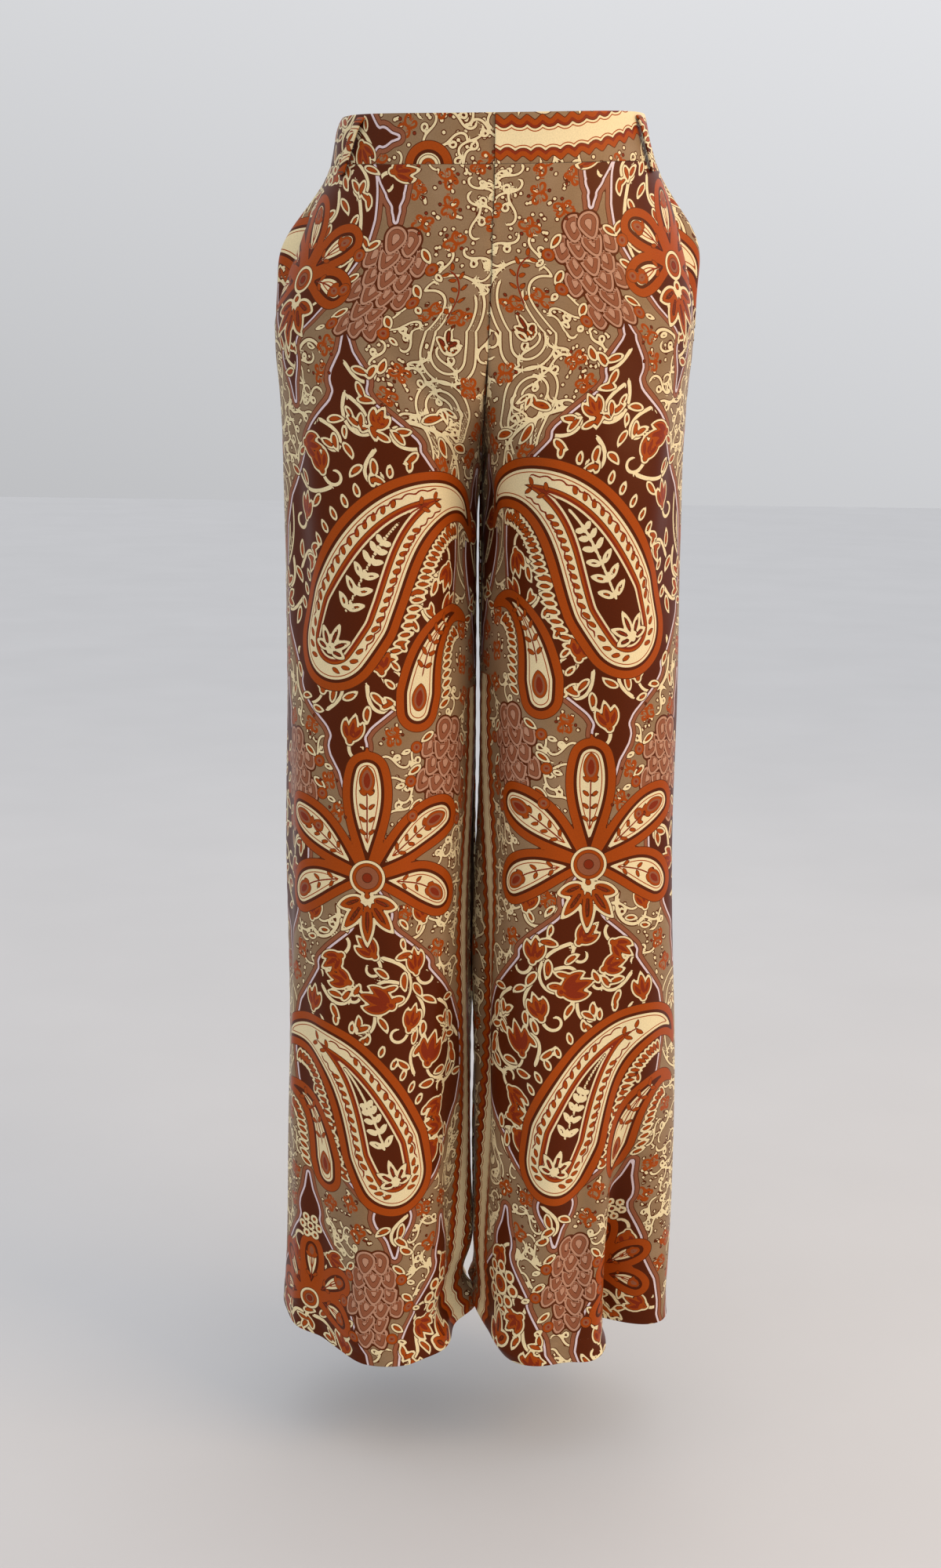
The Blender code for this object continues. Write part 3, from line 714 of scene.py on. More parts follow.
        # Two corners of the cloth are left over, since no piece is cut there.
        used = ((xs > -150) | (ys > 400)) & ((xs < 150) | (ys < 460))
        xs, ys = xs[used], ys[used]
        laid = paint(self.shapes, xs, ys)
        field = laid["field"]
        covering = [laid[name] for name in ("bloom", "petal", "leaf", "scale", "bud", "frill")]
        taken = np.minimum.reduce([*covering, laid["scroll_near"]])
        placed = np.empty((0, 3))
        for x, y, depth, room in zip(xs, ys, field, taken):
            inside, kind = depth < 0, random.random()
            radius = VINE_ROOM if inside else SPRIG_ROOM if kind < SPRIG_SHARE else SCROLL_ROOM
            if room < max(LEAST_ROOM, radius * 0.5) or EDGE_INSIDE < depth < EDGE_OUTSIDE:
                continue
            if (np.hypot(placed[:, 0] - x, placed[:, 1] - y) < placed[:, 2] + radius).any():
                continue
            placed = np.vstack([placed, (x, y, radius)])
            turn, hand = random.uniform(0, 360), random.choice((-1, 1))
            if inside and kind < TULIP_SHARE:
                self.tulip(x, y, turn, 24)
                stem = tendril(x, y, turn + 180, 34, 0, hand * 250, 1.6, 0.6)
                self.line("scroll", stem, 1.6, 1.1)
            elif inside:
                self.vine(*ahead(x, y, turn, -13), turn, 46, 0, hand * 250, 4, 18)
            elif kind < SPRIG_SHARE:
                self.sprig(x, y, turn, 12.5)
            else:
                self.scroll(x, y, turn, 32, hand)
        free = np.flatnonzero((taken > 3) & (field > 9))[-DOTS:]
        for k in free:
            self.disc("dot", (xs[k], ys[k]), 1.8)


def nearest_on(x, y, line_x, line_y):
    """The distance from each place to a line, the step of the line it is nearest, and where on it."""
    step_x, step_y = np.diff(line_x), np.diff(line_y)
    from_x, from_y = x[:, None] - line_x[:-1], y[:, None] - line_y[:-1]
    along = np.clip((from_x * step_x + from_y * step_y) / (step_x**2 + step_y**2), 0, 1)
    distance = np.hypot(from_x - along * step_x, from_y - along * step_y)
    nearest = distance.argmin(axis=1)
    row = np.arange(len(nearest))
    left = step_x[nearest] * from_y[row, nearest] - step_y[nearest] * from_x[row, nearest]
    return distance[row, nearest], nearest, along[row, nearest], np.sign(left)


def paint(shapes, x, y):
    """Each layer's value at the flat places x, y: the distance in mm from its forms' edges, less
    than 0 inside. A line's value runs from -1 to 1 across it, and its near layer is the distance."""
    layers = {name: np.full(x.shape, FAR) for name in LAYERS}
    for shape in shapes:
        if isinstance(shape, Profile):
            low = shape.left.min() - FAR, shape.y[0] - FAR
            high = shape.right.max() + FAR, shape.y[-1] + FAR
        else:
            reach = shape.radii.max() + LINE_REACH if isinstance(shape, Disc) else LINE_REACH
            low, high = shape.spine.min(axis=0) - reach, shape.spine.max(axis=0) + reach
        near = np.flatnonzero((x > low[0]) & (x < high[0]) & (y > low[1]) & (y < high[1]))
        if not len(near):
            continue
        px, py, values = x[near], y[near], layers[shape.layer]
        if isinstance(shape, Profile):
            inside = (px > np.interp(py, shape.y, shape.left)) & (px < np.interp(py, shape.y, shape.right))
            inside &= (py > shape.y[0]) & (py < shape.y[-1])
            edges = [nearest_on(px, py, edge, shape.y)[0] for edge in (shape.left, shape.right)]
            distance = np.minimum(*edges)
            values[near] = np.minimum(values[near], np.where(inside, -distance, distance))
        elif isinstance(shape, Disc):
            spans = np.hypot(px[:, None] - shape.spine[:, 0], py[:, None] - shape.spine[:, 1]) - shape.radii
            span = spans.min(axis=1)
            # A scale hides the part that it covers of those laid before it.
            covers = (shape.layer == "scale") & (span < SCALE_LINE)
            values[near] = np.where(covers, span, np.minimum(values[near], span))
        else:
            distance, nearest, along, side = nearest_on(px, py, *shape.spine.T)
            half = shape.half[nearest] + (shape.half[nearest + 1] - shape.half[nearest]) * along
            close = layers[shape.layer + "_near"]
            better = distance - half < close[near]
            close[near[better]] = (distance - half)[better]
            values[near[better]] = (side * distance / half)[better]
    return layers


# ---- Materials ----
def linear(code):
    """A colour of the scene from its sRGB hex value."""
    channels = [int(code[k:k + 2], 16) / 255 for k in (0, 2, 4)]
    return tuple(c / 12.92 if c <= 0.04045 else ((c + 0.055) / 1.055) ** 2.4 for c in channels)


def ink(name, description, code):
    """A colour that a user may change."""
    return bpy.props.FloatVectorProperty(
        name=name, description=description, default=linear(code), subtype="COLOR", min=0.0, max=1.0)


class TrousersInks(bpy.types.PropertyGroup):
    """Colours of the print, of the cloth's reverse, of the pocketing and of the thread."""

    taupe: ink("Taupe", "The print's ground", "876B4D")
    sand: ink("Sand", "The lighter parts of the ground", "9C8266")
    cream: ink("Cream", "The scrolls and the light bands of the large forms", "E2D0A4")
    dark: ink("Dark brown", "The pointed fields", "501D08")
    rust: ink("Rust", "The broad bands of the large forms", "9C420E")
    brick: ink("Brick", "The middles of the leaves", "7E2A12")
    mauve: ink("Mauve", "The petals and the fields' outer border", "8C5339")
    rose: ink("Rose", "The scales' edges", "B4866C")
    pale: ink("Pale mauve", "The fields' inner border", "D4C2C4")
    outline: ink("Outline", "The thin lines round every form", "55240D")
    reverse_dark: ink("Reverse, dark", "Where dark ink shows through to the reverse", "5E3A26")
    reverse_light: ink("Reverse, light", "The reverse of the light parts", "94795F")
    lining: ink("Pocketing", "The pocket bags", "8C745E")
    thread: ink("Thread", "The sewing thread", "74452A")


# The colours of each layer's forms, each from its distance in mm from their edge outwards.
RINGS = {
    "field": "-99 dark, -0.2 outline, 0.6 pale, 2.6 outline, 3.3 mauve, 6.6 outline, 7.2 none",
    "leaf": "-99 brick, -3.4 rust, -1.9 outline, -1.5 cream, 0 outline, 0.6 none",
    "bloom": "-99 dark, -28.6 outline, -28.0 cream, -26.4 brick, -24.2 rust, -22.4 outline, -21.8 cream, "
             "-12.2 rust, -11.4 cream, -9.4 outline, -8.8 dark, -6.6 rust, 0 outline, 0.7 none",
    "petal": "-99 mauve, -5.6 outline, -5 rust, -2.6 outline, -2.1 cream, 0 outline, 0.6 none",
    "scale": "-99 rose, -6.0 outline, -5.5 mauve, -2.4 outline, -1.9 rose, 0 outline, 1.6 none",
    "bud": "-99 brick, -3.6 mauve, -2.0 rust, 0 outline, 0.5 none",
    "frill": "-99 cream, -8.4 rust, -7.6 cream, -6.2 outline, -5.6 brick, -3.6 rust, 0 outline, 0.6 none",
    "seed": "-99 brick, -0.4 outline, 0.2 none",
    "dot": "-99 cream, -0.5 outline, 0.3 none",
}
RING_LOW, RING_HIGH = -40.0, 14.0

# In mm: how far a line's layer holds beyond its edge, and where a field's border ends and its inside
# begins.
STROKE_REACH = 1.3
BORDER_END, FIELD_START = 7.4, -1.0

# A Wave Texture of scale 1 has one band in this length.
WAVE_LENGTH = 2 * math.pi / 20


def node(tree, kind, links=(), **settings):
    """Adds a node. links are (input, value or socket) pairs, and settings its properties."""
    made = tree.nodes.new(kind)
    for name, value in settings.items():
        setattr(made, name, value)
    for socket, value in links:
        if isinstance(value, bpy.types.NodeSocket):
            tree.links.new(value, made.inputs[socket])
        else:
            made.inputs[socket].default_value = value
    return made


def colour_of(name):
    """One of the inks, as a node takes it."""
    return (*getattr(bpy.context.scene.trousers_inks, name), 1.0)


def new_material(name, **constants):
    """A material with one Principled shader whose constant inputs are set on its own sockets."""
    made = bpy.data.materials.new(name)
    made.use_nodes = True
    shader = made.node_tree.nodes["Principled BSDF"]
    for socket, value in constants.items():
        shader.inputs[socket.replace("_", " ")].default_value = value
    return made, made.node_tree, shader


def covered(tree, below, above, share):
    """The colour above laid over the one below, where share is 1."""
    return node(tree, "ShaderNodeMix", [(0, share), (6, below), (7, above)], data_type="RGBA").outputs[2]


def limited(tree, share, where):
    """The share, kept only where the other one is 1, if that is given."""
    if where is None:
        return share
    return node(tree, "ShaderNodeMath", [(0, share), (1, where)], operation="MULTIPLY").outputs[0]


def ringed(tree, below, values, layer, where=None):
    """A layer's forms laid over the colour below: each ring from its distance outwards."""
    rings = [row.split() for row in RINGS[layer].split(", ")]
    span = node(tree, "ShaderNodeMapRange", [(0, values[layer]), (1, RING_LOW), (2, RING_HIGH)])
    ramp = node(tree, "ShaderNodeValToRGB", [(0, span.outputs[0])])
    ramp.color_ramp.interpolation = "CONSTANT"
    elements = ramp.color_ramp.elements
    elements.remove(elements[1])
    for k, (start, name) in enumerate(rings):
        place = max(0.0, (float(start) - RING_LOW) / (RING_HIGH - RING_LOW))
        element = elements[0] if k == 0 else elements.new(place)
        element.position = place
        element.color = (0.0, 0.0, 0.0, 0.0) if name == "none" else colour_of(name)
    return covered(tree, below, ramp.outputs[0], limited(tree, ramp.outputs[1], where))


def stroked(tree, below, values, layer, width, name, where=None):
    """A layer's lines laid over the colour below, out to width half widths from their middle."""
    across = node(tree, "ShaderNodeMath", [(0, values[layer])], operation="ABSOLUTE").outputs[0]
    narrow, near = (
        node(tree, "ShaderNodeMath", [(0, value), (1, edge)], operation="LESS_THAN").outputs[0]
        for value, edge in ((across, width), (values[layer + "_near"], STROKE_REACH)))
    return covered(tree, below, colour_of(name), limited(tree, limited(tree, narrow, near), where))


def printed_satin(weave):
    """Printed satin: long floats of filament yarn give a soft broad gloss, and the inks lie in it."""
    made, tree, shader = new_material(
        "printed_satin_weave", Roughness=0.36, Specular_IOR_Level=0.13, Specular_Tint=(1.0, 0.72, 0.45, 1.0))
    values = {}
    for index, pack in enumerate(PACKS):
        packed = node(tree, "ShaderNodeAttribute", attribute_name=f"print_{index}")
        parts = node(tree, "ShaderNodeSeparateXYZ", [(0, packed.outputs["Vector"])])
        values.update(zip(pack, parts.outputs))
    cloth = node(tree, "ShaderNodeUVMap", uv_map="cloth").outputs[0]

    # The taupe ink of the ground is a little uneven, lighter in patches some centimetres across.
    patches = node(tree, "ShaderNodeTexNoise", [("Vector", cloth), ("Scale", 26.0), ("Detail", 3.0)])
    light = node(tree, "ShaderNodeMapRange", [(0, patches.outputs[0]), (1, 0.35), (2, 0.75), (4, 0.55)])
    colour = covered(tree, colour_of("taupe"), colour_of("sand"), light.outputs[0])
    ground, inside = (
        node(tree, "ShaderNodeMath", [(0, values["field"]), (1, edge)], operation=test).outputs[0]
        for edge, test in ((BORDER_END, "GREATER_THAN"), (FIELD_START, "LESS_THAN")))
    colour = ringed(tree, colour, values, "dot", ground)
    colour = stroked(tree, colour, values, "scroll", 1.75, "outline", ground)
    colour = stroked(tree, colour, values, "scroll", 1.0, "cream", ground)
    colour = ringed(tree, colour, values, "field")
    colour = stroked(tree, colour, values, "scroll", 1.0, "cream", inside)
    colour = stroked(tree, colour, values, "sprig", 1.0, "rust", ground)
    for layer in ("scale", "leaf", "bloom", "frill", "petal", "bud"):
        colour = ringed(tree, colour, values, layer)
    colour = stroked(tree, colour, values, "vein", 0.66, "brick")
    colour = ringed(tree, colour, values, "seed")

    # Ink sinks unevenly into the yarns, so every colour is flecked lighter and darker, 1 mm apart.
    fleck = node(tree, "ShaderNodeTexNoise", [("Vector", cloth), ("Scale", 900.0), ("Detail", 1.0)])
    value = node(tree, "ShaderNodeMapRange", [
        (0, fleck.outputs[0]), (1, 0.3), (2, 0.7), (3, 0.92), (4, 1.07)])
    toned = node(tree, "ShaderNodeHueSaturation", [("Value", value.outputs[0]), ("Color", colour)])
    tree.links.new(toned.outputs[0], shader.inputs["Base Color"])

    # The satin's slanting rib is 0.2 mm apart, too fine to show, so it is drawn weave apart.
    slant = node(tree, "ShaderNodeMapping", [("Vector", cloth), ("Rotation", (0, 0, math.radians(63)))])
    rib = node(tree, "ShaderNodeTexWave", [
        ("Vector", slant.outputs[0]), ("Scale", WAVE_LENGTH / weave), ("Distortion", 1.5), ("Detail", 1.0)])
    limp = node(tree, "ShaderNodeTexNoise", [("Vector", cloth), ("Scale", 45.0), ("Detail", 2.0)])
    fine = node(tree, "ShaderNodeBump", [
        ("Strength", 0.06), ("Distance", 0.0003), ("Height", rib.outputs[1])])
    bump = node(tree, "ShaderNodeBump", [
        ("Strength", 0.12), ("Distance", 0.002), ("Height", limp.outputs[0]), ("Normal", fine.outputs[0])])
    tree.links.new(bump.outputs[0], shader.inputs["Normal"])
    return made


def flecked(name, roughness, dark, light, scale, vector="Object", **more):
    """A matt woven or spun material whose colour runs between two inks in flecks."""
    made, tree, shader = new_material(name, Roughness=roughness, **more)
    if vector == "Object":
        place = node(tree, "ShaderNodeTexCoord").outputs["Object"]
    else:
        place = node(tree, "ShaderNodeUVMap", uv_map=vector).outputs[0]
    fleck = node(tree, "ShaderNodeTexNoise", [("Vector", place), ("Scale", scale), ("Detail", 2.0)])
    ramp = node(tree, "ShaderNodeValToRGB", [(0, fleck.outputs[0])])
    for element, colour, at in zip(ramp.color_ramp.elements, (dark, light), (0.38, 0.62)):
        element.position, element.color = at, colour
    bump = node(tree, "ShaderNodeBump", [
        ("Strength", 0.2), ("Distance", 0.0003), ("Height", fleck.outputs[0])])
    tree.links.new(ramp.outputs[0], shader.inputs["Base Color"])
    tree.links.new(bump.outputs[0], shader.inputs["Normal"])
    return made


def satin_reverse():
    """The satin's unprinted side, where the inks show through faded on the matt face of the yarns."""
    dark, light = colour_of("reverse_dark"), colour_of("reverse_light")
    return flecked("satin_reverse_weave", 0.72, dark, light, 55.0, "cloth")


def viscose_pocketing():
    """Plain woven viscose lining: matt, with yarns 0.4 mm apart drawn twice as coarse."""
    base = colour_of("lining")
    return flecked("viscose_pocketing", 0.7, tuple(0.8 * c for c in base), base, 1200.0)


def polyester_thread():
    """Spun polyester thread: matt, with a light fuzz and a twist that flecks its colour."""
    base = colour_of("thread")
    return flecked("polyester_thread", 0.6, tuple(0.7 * c for c in base), base, 1500.0, Sheen_Weight=0.2)


@functools.cache
def finish(make, *values):
    """The material that make returns, made once."""
    return make(*values)


# ---- Cutting and sewing ----
# The inner side of a cloth has every fourth row and column of its outer side. No smaller than the
# least size. BEHIND is the depth of a layer that lies behind another one.
INNER_EVERY = 4
BEHIND = PANEL_CLOTH + SEAM_GAP + 0.0008

# A grid's columns are this many times as far apart as its rows.
ACROSS_PITCH = 1.06
BAND_ACROSS_PITCH = 1.1

# Where the pieces are cut from the printed cloth, in mm and degrees, and whether they lie turned over.
Cut = namedtuple("Cut", "x y turn mirror")
CUTS = {
    "front_right": Cut(0, 0, 0, 1),
    "front_left": Cut(0, 10, 0, 1),
    "back_right": Cut(4, 36, 0, 1),
    "back_left": Cut(4, 24, 0, 1),
    "waistband_right": Cut(200, 0, 90, -1),
    "waistband_left": Cut(240, 0, -96, 1),
    "pocket_facing_right": Cut(-10, 200, 8, -1),
    "pocket_facing_left": Cut(-6, 216, -8, -1),
    "fly_underlap": Cut(60, 60, 0, 1),
    "belt_loop_right": Cut(60, 250, 0, 1),
    "belt_loop_left": Cut(50, 300, 0, 1),
    "belt_loop_back": Cut(20, 500, 0, 1),
}


def placed_on_cloth(name, across, down):
    """Where a piece's flat places, in mm, lie on the printed cloth."""
    cut = CUTS[name]
    turn = math.radians(cut.turn)
    across = across * cut.mirror
    x = cut.x + across * math.cos(turn) - down * math.sin(turn)
    y = cut.y + across * math.sin(turn) + down * math.cos(turn)
    return x, y


def spaced(start, end, pitch, edge=0.0015):
    """Even places from start to end, with closer ones beside both."""
    count = max(2, int(abs(end - start) / pitch) + 1)
    sign = math.copysign(1, end - start)
    inner = np.linspace(start + sign * edge, end - sign * edge, count)
    near = np.array([0.0, 0.3, 0.65]) * edge * sign
    return np.concatenate([start + near, inner, end - near[::-1]])


def grid_normals(grid):
    """Unit normals of a grid whose columns run round and whose rows run down."""
    normals = np.cross(np.gradient(grid, axis=0), np.gradient(grid, axis=1))
    return normals / np.maximum(1e-12, np.linalg.norm(normals, axis=2, keepdims=True))


def flat_places(grid, middle):
    """Each point's place on the flat piece, in mm: across from the column middle, and down."""
    across = np.cumsum(np.linalg.norm(np.diff(grid, axis=1), axis=2), axis=1)
    across = np.hstack([np.zeros((len(grid), 1)), across])
    across = across - across[:, middle:middle + 1]
    down = np.cumsum(np.linalg.norm(np.diff(grid[:, middle], axis=0), axis=1))
    down = np.broadcast_to(np.concatenate([[0.0], down])[:, None], across.shape)
    return across / MM, down / MM


def kept(count):
    """The places, of count, that a cloth's inner side keeps: every so many, and the last."""
    places = np.arange(0, count, INNER_EVERY)
    return places if places[-1] == count - 1 else np.append(places, count - 1)


def quads(at):
    """The faces of a grid whose points have these numbers."""
    return np.stack([at[:-1, :-1], at[1:, :-1], at[1:, 1:], at[:-1, 1:]], axis=-1).reshape(-1, 4)


def cloth_piece(name, grid, cloth, middle, turn, under=0.0, plain=False, meet=0.0):
    """A piece of cloth: a fine outer side that carries the print, a coarser inner side, and its rim.

    The grid's columns run towards the wearer's left across the front where turn is 1, and the other
    way where it is -1. The outer side lies the depth under beneath the grid. A plain piece is cut
    from the pocketing, and the others from the print, on whose grain the column middle lies. Both
    its upright edges reach the length meet farther, so that no light falls through its seams.
    """
    if turn < 0:
        grid, middle = grid[:, ::-1], grid.shape[1] - 1 - middle
    normals = grid_normals(grid)
    outer = grid - normals * under
    for edge, beside in ((0, 1), (-1, -2)):
        step = outer[:, edge] - outer[:, beside]
        outer[:, edge] += step * (meet / np.linalg.norm(step, axis=1))[:, None]
    rows, columns = kept(len(grid)), kept(grid.shape[1])
    inner = (outer - normals * cloth)[np.ix_(rows, columns)]
    outer_at = np.arange(outer[..., 0].size).reshape(outer.shape[:2])
    inner_at = outer_at.size + np.arange(inner[..., 0].size).reshape(inner.shape[:2])
    faces = quads(outer_at).tolist()
    shown = len(faces)
    faces += quads(inner_at)[:, ::-1].tolist()
    rims = [
        (outer_at[0], inner_at[0], columns, False),
        (outer_at[-1], inner_at[-1], columns, True),
        (outer_at[:, 0], inner_at[:, 0], rows, True),
        (outer_at[:, -1], inner_at[:, -1], rows, False),
    ]
    for outside, inside, stops, flip in rims:
        for k in range(len(stops) - 1):
            face = [*outside[stops[k]:stops[k + 1] + 1].tolist(), int(inside[k + 1]), int(inside[k])]
            faces.append(face if not flip else face[::-1])
    mesh = bpy.data.meshes.new(name)
    mesh.from_pydata(np.vstack([outer.reshape(-1, 3), inner.reshape(-1, 3)]).tolist(), [], faces)

    across, down = flat_places(grid, middle)
    places = (across, down) if plain else placed_on_cloth(name, across * (-turn), down)
    x, y = (np.concatenate([place.ravel(), place[np.ix_(rows, columns)].ravel()]) for place in places)
    corner_at = np.empty(len(mesh.loops), dtype=np.int32)
    mesh.loops.foreach_get("vertex_index", corner_at)
    corners = np.stack([x[corner_at], -y[corner_at]], axis=1) * MM
    mesh.uv_layers.new(name="cloth").data.foreach_set("uv", corners.astype(np.float32).ravel())
    if plain:
        mesh.materials.append(finish(viscose_pocketing))
    else:
        layers = paint(printed(), x, y)
        for index, pack in enumerate(PACKS):
            values = np.stack([layers[layer] for layer in pack], axis=1)
            made = mesh.attributes.new(f"print_{index}", "FLOAT_VECTOR", "POINT")
            made.data.foreach_set("vector", values.astype(np.float32).ravel())
        for material in satin():
            mesh.materials.append(material)
        inside = np.zeros(len(faces), dtype=np.int32)
        inside[shown:shown + (len(rows) - 1) * (len(columns) - 1)] = 1
        mesh.polygons.foreach_set("material_index", inside)
    mesh.shade_smooth()
    piece = bpy.data.objects.new(name + "_cloth", mesh)
    bpy.context.scene.collection.objects.link(piece)
    return piece


def hung(piece, node_name):
    """Sets a cloth piece in its solid's place: hides the solid and attaches the piece to the root."""
    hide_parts(node_name)
    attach(piece, "root")


def seam_effects(half, around, z, width, settings):
    """How the seams draw the cloth in, with small puckers beside them, and the hem's turned edge."""
    total = np.zeros(around.shape)
    share = np.abs(around)
    heights = np.broadcast_to(z[:, None], around.shape)
    start = pocket_edge(heights) if around[0].mean() > 0 else 0.0
    for k, away in enumerate(((1 - share) * width, (share - start) * width)):
        away = np.maximum(0.0, away)
        total -= settings.seam_sink * np.exp(-((away / SINK_REACH) ** 2))
        pucker = np.sin(heights * 260 + 3 * k) + 0.7 * np.sin(heights * 411 + half + k)
        pucker = settings.pucker * 0.5 * pucker * np.exp(-away / PUCKER_REACH)
        total += pucker * blend(BAND_FOOT, PUCKER_START, heights)
    fold_line = HEM + settings.hem_depth
    total += HEM_STEP * blend(fold_line + HEM_STEP_REACH, fold_line - HEM_STEP_REACH, heights)
    total -= HEM_GROOVE * np.exp(-(((heights - fold_line) / HEM_GROOVE_REACH) ** 2))
    return total


def panel_places(half, front, pitch):
    """The rows' heights and the places around of a front's or back's fine grid."""
    z = spaced(BAND_FOOT - SEAM_GAP, HEM, pitch)
    width = outline(half, front, np.array([KNEE]))[2][0, -1]
    share = (spaced(0.0, width, pitch * ACROSS_PITCH) / width)[::-1]
    near = SEAM_GAP / 2 / outline(half, front, z)[2][:, -1:]
    low = near + (pocket_edge(z)[:, None] if front else 0.0)
    around = low + (1 - near - low) * share[None]
    return z, around * (1 if front else -1), width


def panel_surface(half, front, z, around, width, settings):
    """A front's or back's outer points, with the seams' and the hem's marks."""
    lift = seam_effects(half, around, z, width, settings)
    if front:
        heights = np.broadcast_to(z[:, None], around.shape)
        placket = blend(FLY_END - PLACKET_FADE, FLY_END, heights) * PLACKET_RISE[half]
        reach = (1 - np.abs(around)) * width
        lift = lift + placket * np.exp(-((reach / PLACKET_REACH) ** 2))
    return surface(half, around, z, lift=lift, gape=not front)


@functools.cache
def printed():
    """The print's shapes, laid once."""
    art = Print(PRINT_SEED)
    art.lay_main_forms()
    art.fill()
    return art.shapes


def satin():
    """The two sides of the printed satin."""
    weave = bpy.context.scene.trousers_cloth.weave
    return [finish(printed_satin, weave), finish(satin_reverse)]


def measure(name, description, default, precision=5):
    """A length that a user may change."""
    return bpy.props.FloatProperty(
        name=name, description=description, default=default, unit="LENGTH", precision=precision)


class TrousersCloth(bpy.types.PropertyGroup):
    """Sizes of the cloth and of its seams."""

    pitch: measure("Grid pitch", "Spacing of the panels' points", 0.00182)
    band_pitch: measure("Band pitch", "Spacing of the waistband's points", 0.0011)
    hidden_pitch: measure("Pocket pitch", "Spacing of the pockets' points", 0.0018)
    thickness: measure("Cloth", "Thickness of a panel's cloth", 0.0011)
    band_thickness: measure("Band", "Thickness of the folded waistband", 0.0021)
    seam_sink: measure("Seam sink", "How far a seam is drawn in", 0.0006)
    pucker: measure("Pucker", "Height of the puckers beside a seam", 0.0004)
    hem_depth: measure("Hem", "Depth of the turned hem", 0.019, 4)
    weave: measure("Weave rib", "Spacing of the drawn satin rib", 0.0009)


class TROUSERS_OT_panels(bpy.types.Operator):
    """Cut and hang the two fronts and the two backs"""

    bl_idname = "trousers.panels"
    bl_label = "Fronts and backs"

    def execute(self, context):
        settings = context.scene.trousers_cloth
        for half, hand in HANDS.items():
            for front, side in ((True, "front"), (False, "back")):
                name = f"{side}_{hand}"
                z, around, width = panel_places(half, front, settings.pitch)
                grid = panel_surface(half, front, z, around, width, settings)
                middle = int(np.abs(np.abs(around[len(z) // 2]) - 0.5).argmin())
                turn = half if front else -half
                piece = cloth_piece(name, grid, settings.thickness, middle, turn, meet=SEAM_GAP)
                hung(piece, name)
        return {"FINISHED"}


class TROUSERS_OT_waistband(bpy.types.Operator):
    """Make the waistband's halves, which meet at the centre front and back"""

    bl_idname = "trousers.waistband"
    bl_label = "Waistband"

    def execute(self, context):
        settings = context.scene.trousers_cloth
        for half, hand in HANDS.items():
            z = spaced(BAND_TOP, BAND_FOOT, settings.band_pitch, 0.001)
            fronts, backs = (outline(half, front, z)[2][:, -1:] for front in (True, False))
            width = fronts[0, 0] + backs[0, 0]
            share = spaced(0.0, width, settings.band_pitch * BAND_ACROSS_PITCH)[None] / width
            start, end = 1 - SEAM_GAP / 2 / fronts, SEAM_GAP / 2 / backs - 1
            around = start + (end - start) * share
            grid = surface(half, around, z, lift=band_lift(half, z, share * width))
            name = f"waistband_{hand}"
            piece = cloth_piece(name, grid, settings.band_thickness, 0, half, meet=SEAM_GAP)
            hung(piece, name)
        return {"FINISHED"}


def band_lift(half, z, away):
    """The band's soft crown between its folded edge and its seam, and its slack ripples."""
    down = ((BAND_TOP - z) / (BAND_TOP - BAND_FOOT))[:, None]
    crown = BAND_CROWN * (1 - (2 * down - 1) ** 6) - BAND_SET
    ripple = np.sin(away * 61 + 1.7 * half) + 0.8 * np.sin(away * 118 + 2.2 + 3 * down)
    ripple = BAND_RIPPLE * ripple * (0.35 + 0.65 * np.sin(math.pi * down))
    return crown + ripple + BAND_LAP[half] * np.exp(-((away / BAND_LAP_REACH) ** 2))


class TROUSERS_OT_pockets(bpy.types.Operator):
    """Make the side pockets: each a bag behind the front, and a facing that shows in the mouth"""

    bl_idname = "trousers.pockets"
    bl_label = "Side pockets"

    def execute(self, context):
        settings = context.scene.trousers_cloth
        z = spaced(BAND_FOOT - SEAM_GAP, POCKET_FOOT, settings.hidden_pitch)
        edge = pocket_edge(z)[:, None]
        for half, hand in HANDS.items():
            length = outline(half, True, z)[2][:, -1:]
            near = SEAM_GAP / 2 / length

            share = spaced(1.0, 0.0, settings.hidden_pitch * 2 / length[0, 0], POCKET_EDGE)[None]
            around = near + edge + (1 - 2 * near - edge) * BAG_SHARE * share
            grid = surface(half, around, z)
            name = f"pocket_bag_{hand}"
            piece = cloth_piece(name, grid, PANEL_CLOTH, 0, half, BEHIND, plain=True)
            hung(piece, name)

            depth = 2 * (PANEL_CLOTH + SEAM_GAP) + FACING_CLEARANCE
            share = spaced(1.0, 0.0, settings.hidden_pitch / length[0, 0] / FACING_REACH, POCKET_EDGE)[None]
            around = near + (FACING_REACH - near) * share
            mouth = np.maximum(edge, 1e-6)
            out = blend(near + mouth, near + 0.3 * mouth, around) * blend(0.0, LEAST_MOUTH, edge)
            grid = surface(half, around, z, lift=out * (depth + pocket_gape(around, z[:, None])))
            name = f"pocket_facing_{hand}"
            piece = cloth_piece(name, grid, settings.thickness, 0, half, depth)
            hung(piece, name)
        return {"FINISHED"}


class TROUSERS_OT_underlap(bpy.types.Operator):
    """Make the strip behind the front opening"""

    bl_idname = "trousers.underlap"
    bl_label = "Fly underlap"

    def execute(self, context):
        settings = context.scene.trousers_cloth
        z = spaced(BAND_FOOT - SEAM_GAP, FRONT_SEAM_TURNS, settings.hidden_pitch)
        reach = np.linspace(FLY_HALF_WIDTH, SEAM_GAP / 2, FLY_COLUMNS)[None]
        sides = []
        for half in HANDS:
            around = 1 - reach[:, ::-half] / outline(half, True, z)[2][:, -1:]
            sides.append(surface(half, around, z))
        grid = np.hstack(sides)
        piece = cloth_piece("fly_underlap", grid, settings.thickness, FLY_COLUMNS, 1, BEHIND)
        hung(piece, "fly_underlap")
        return {"FINISHED"}


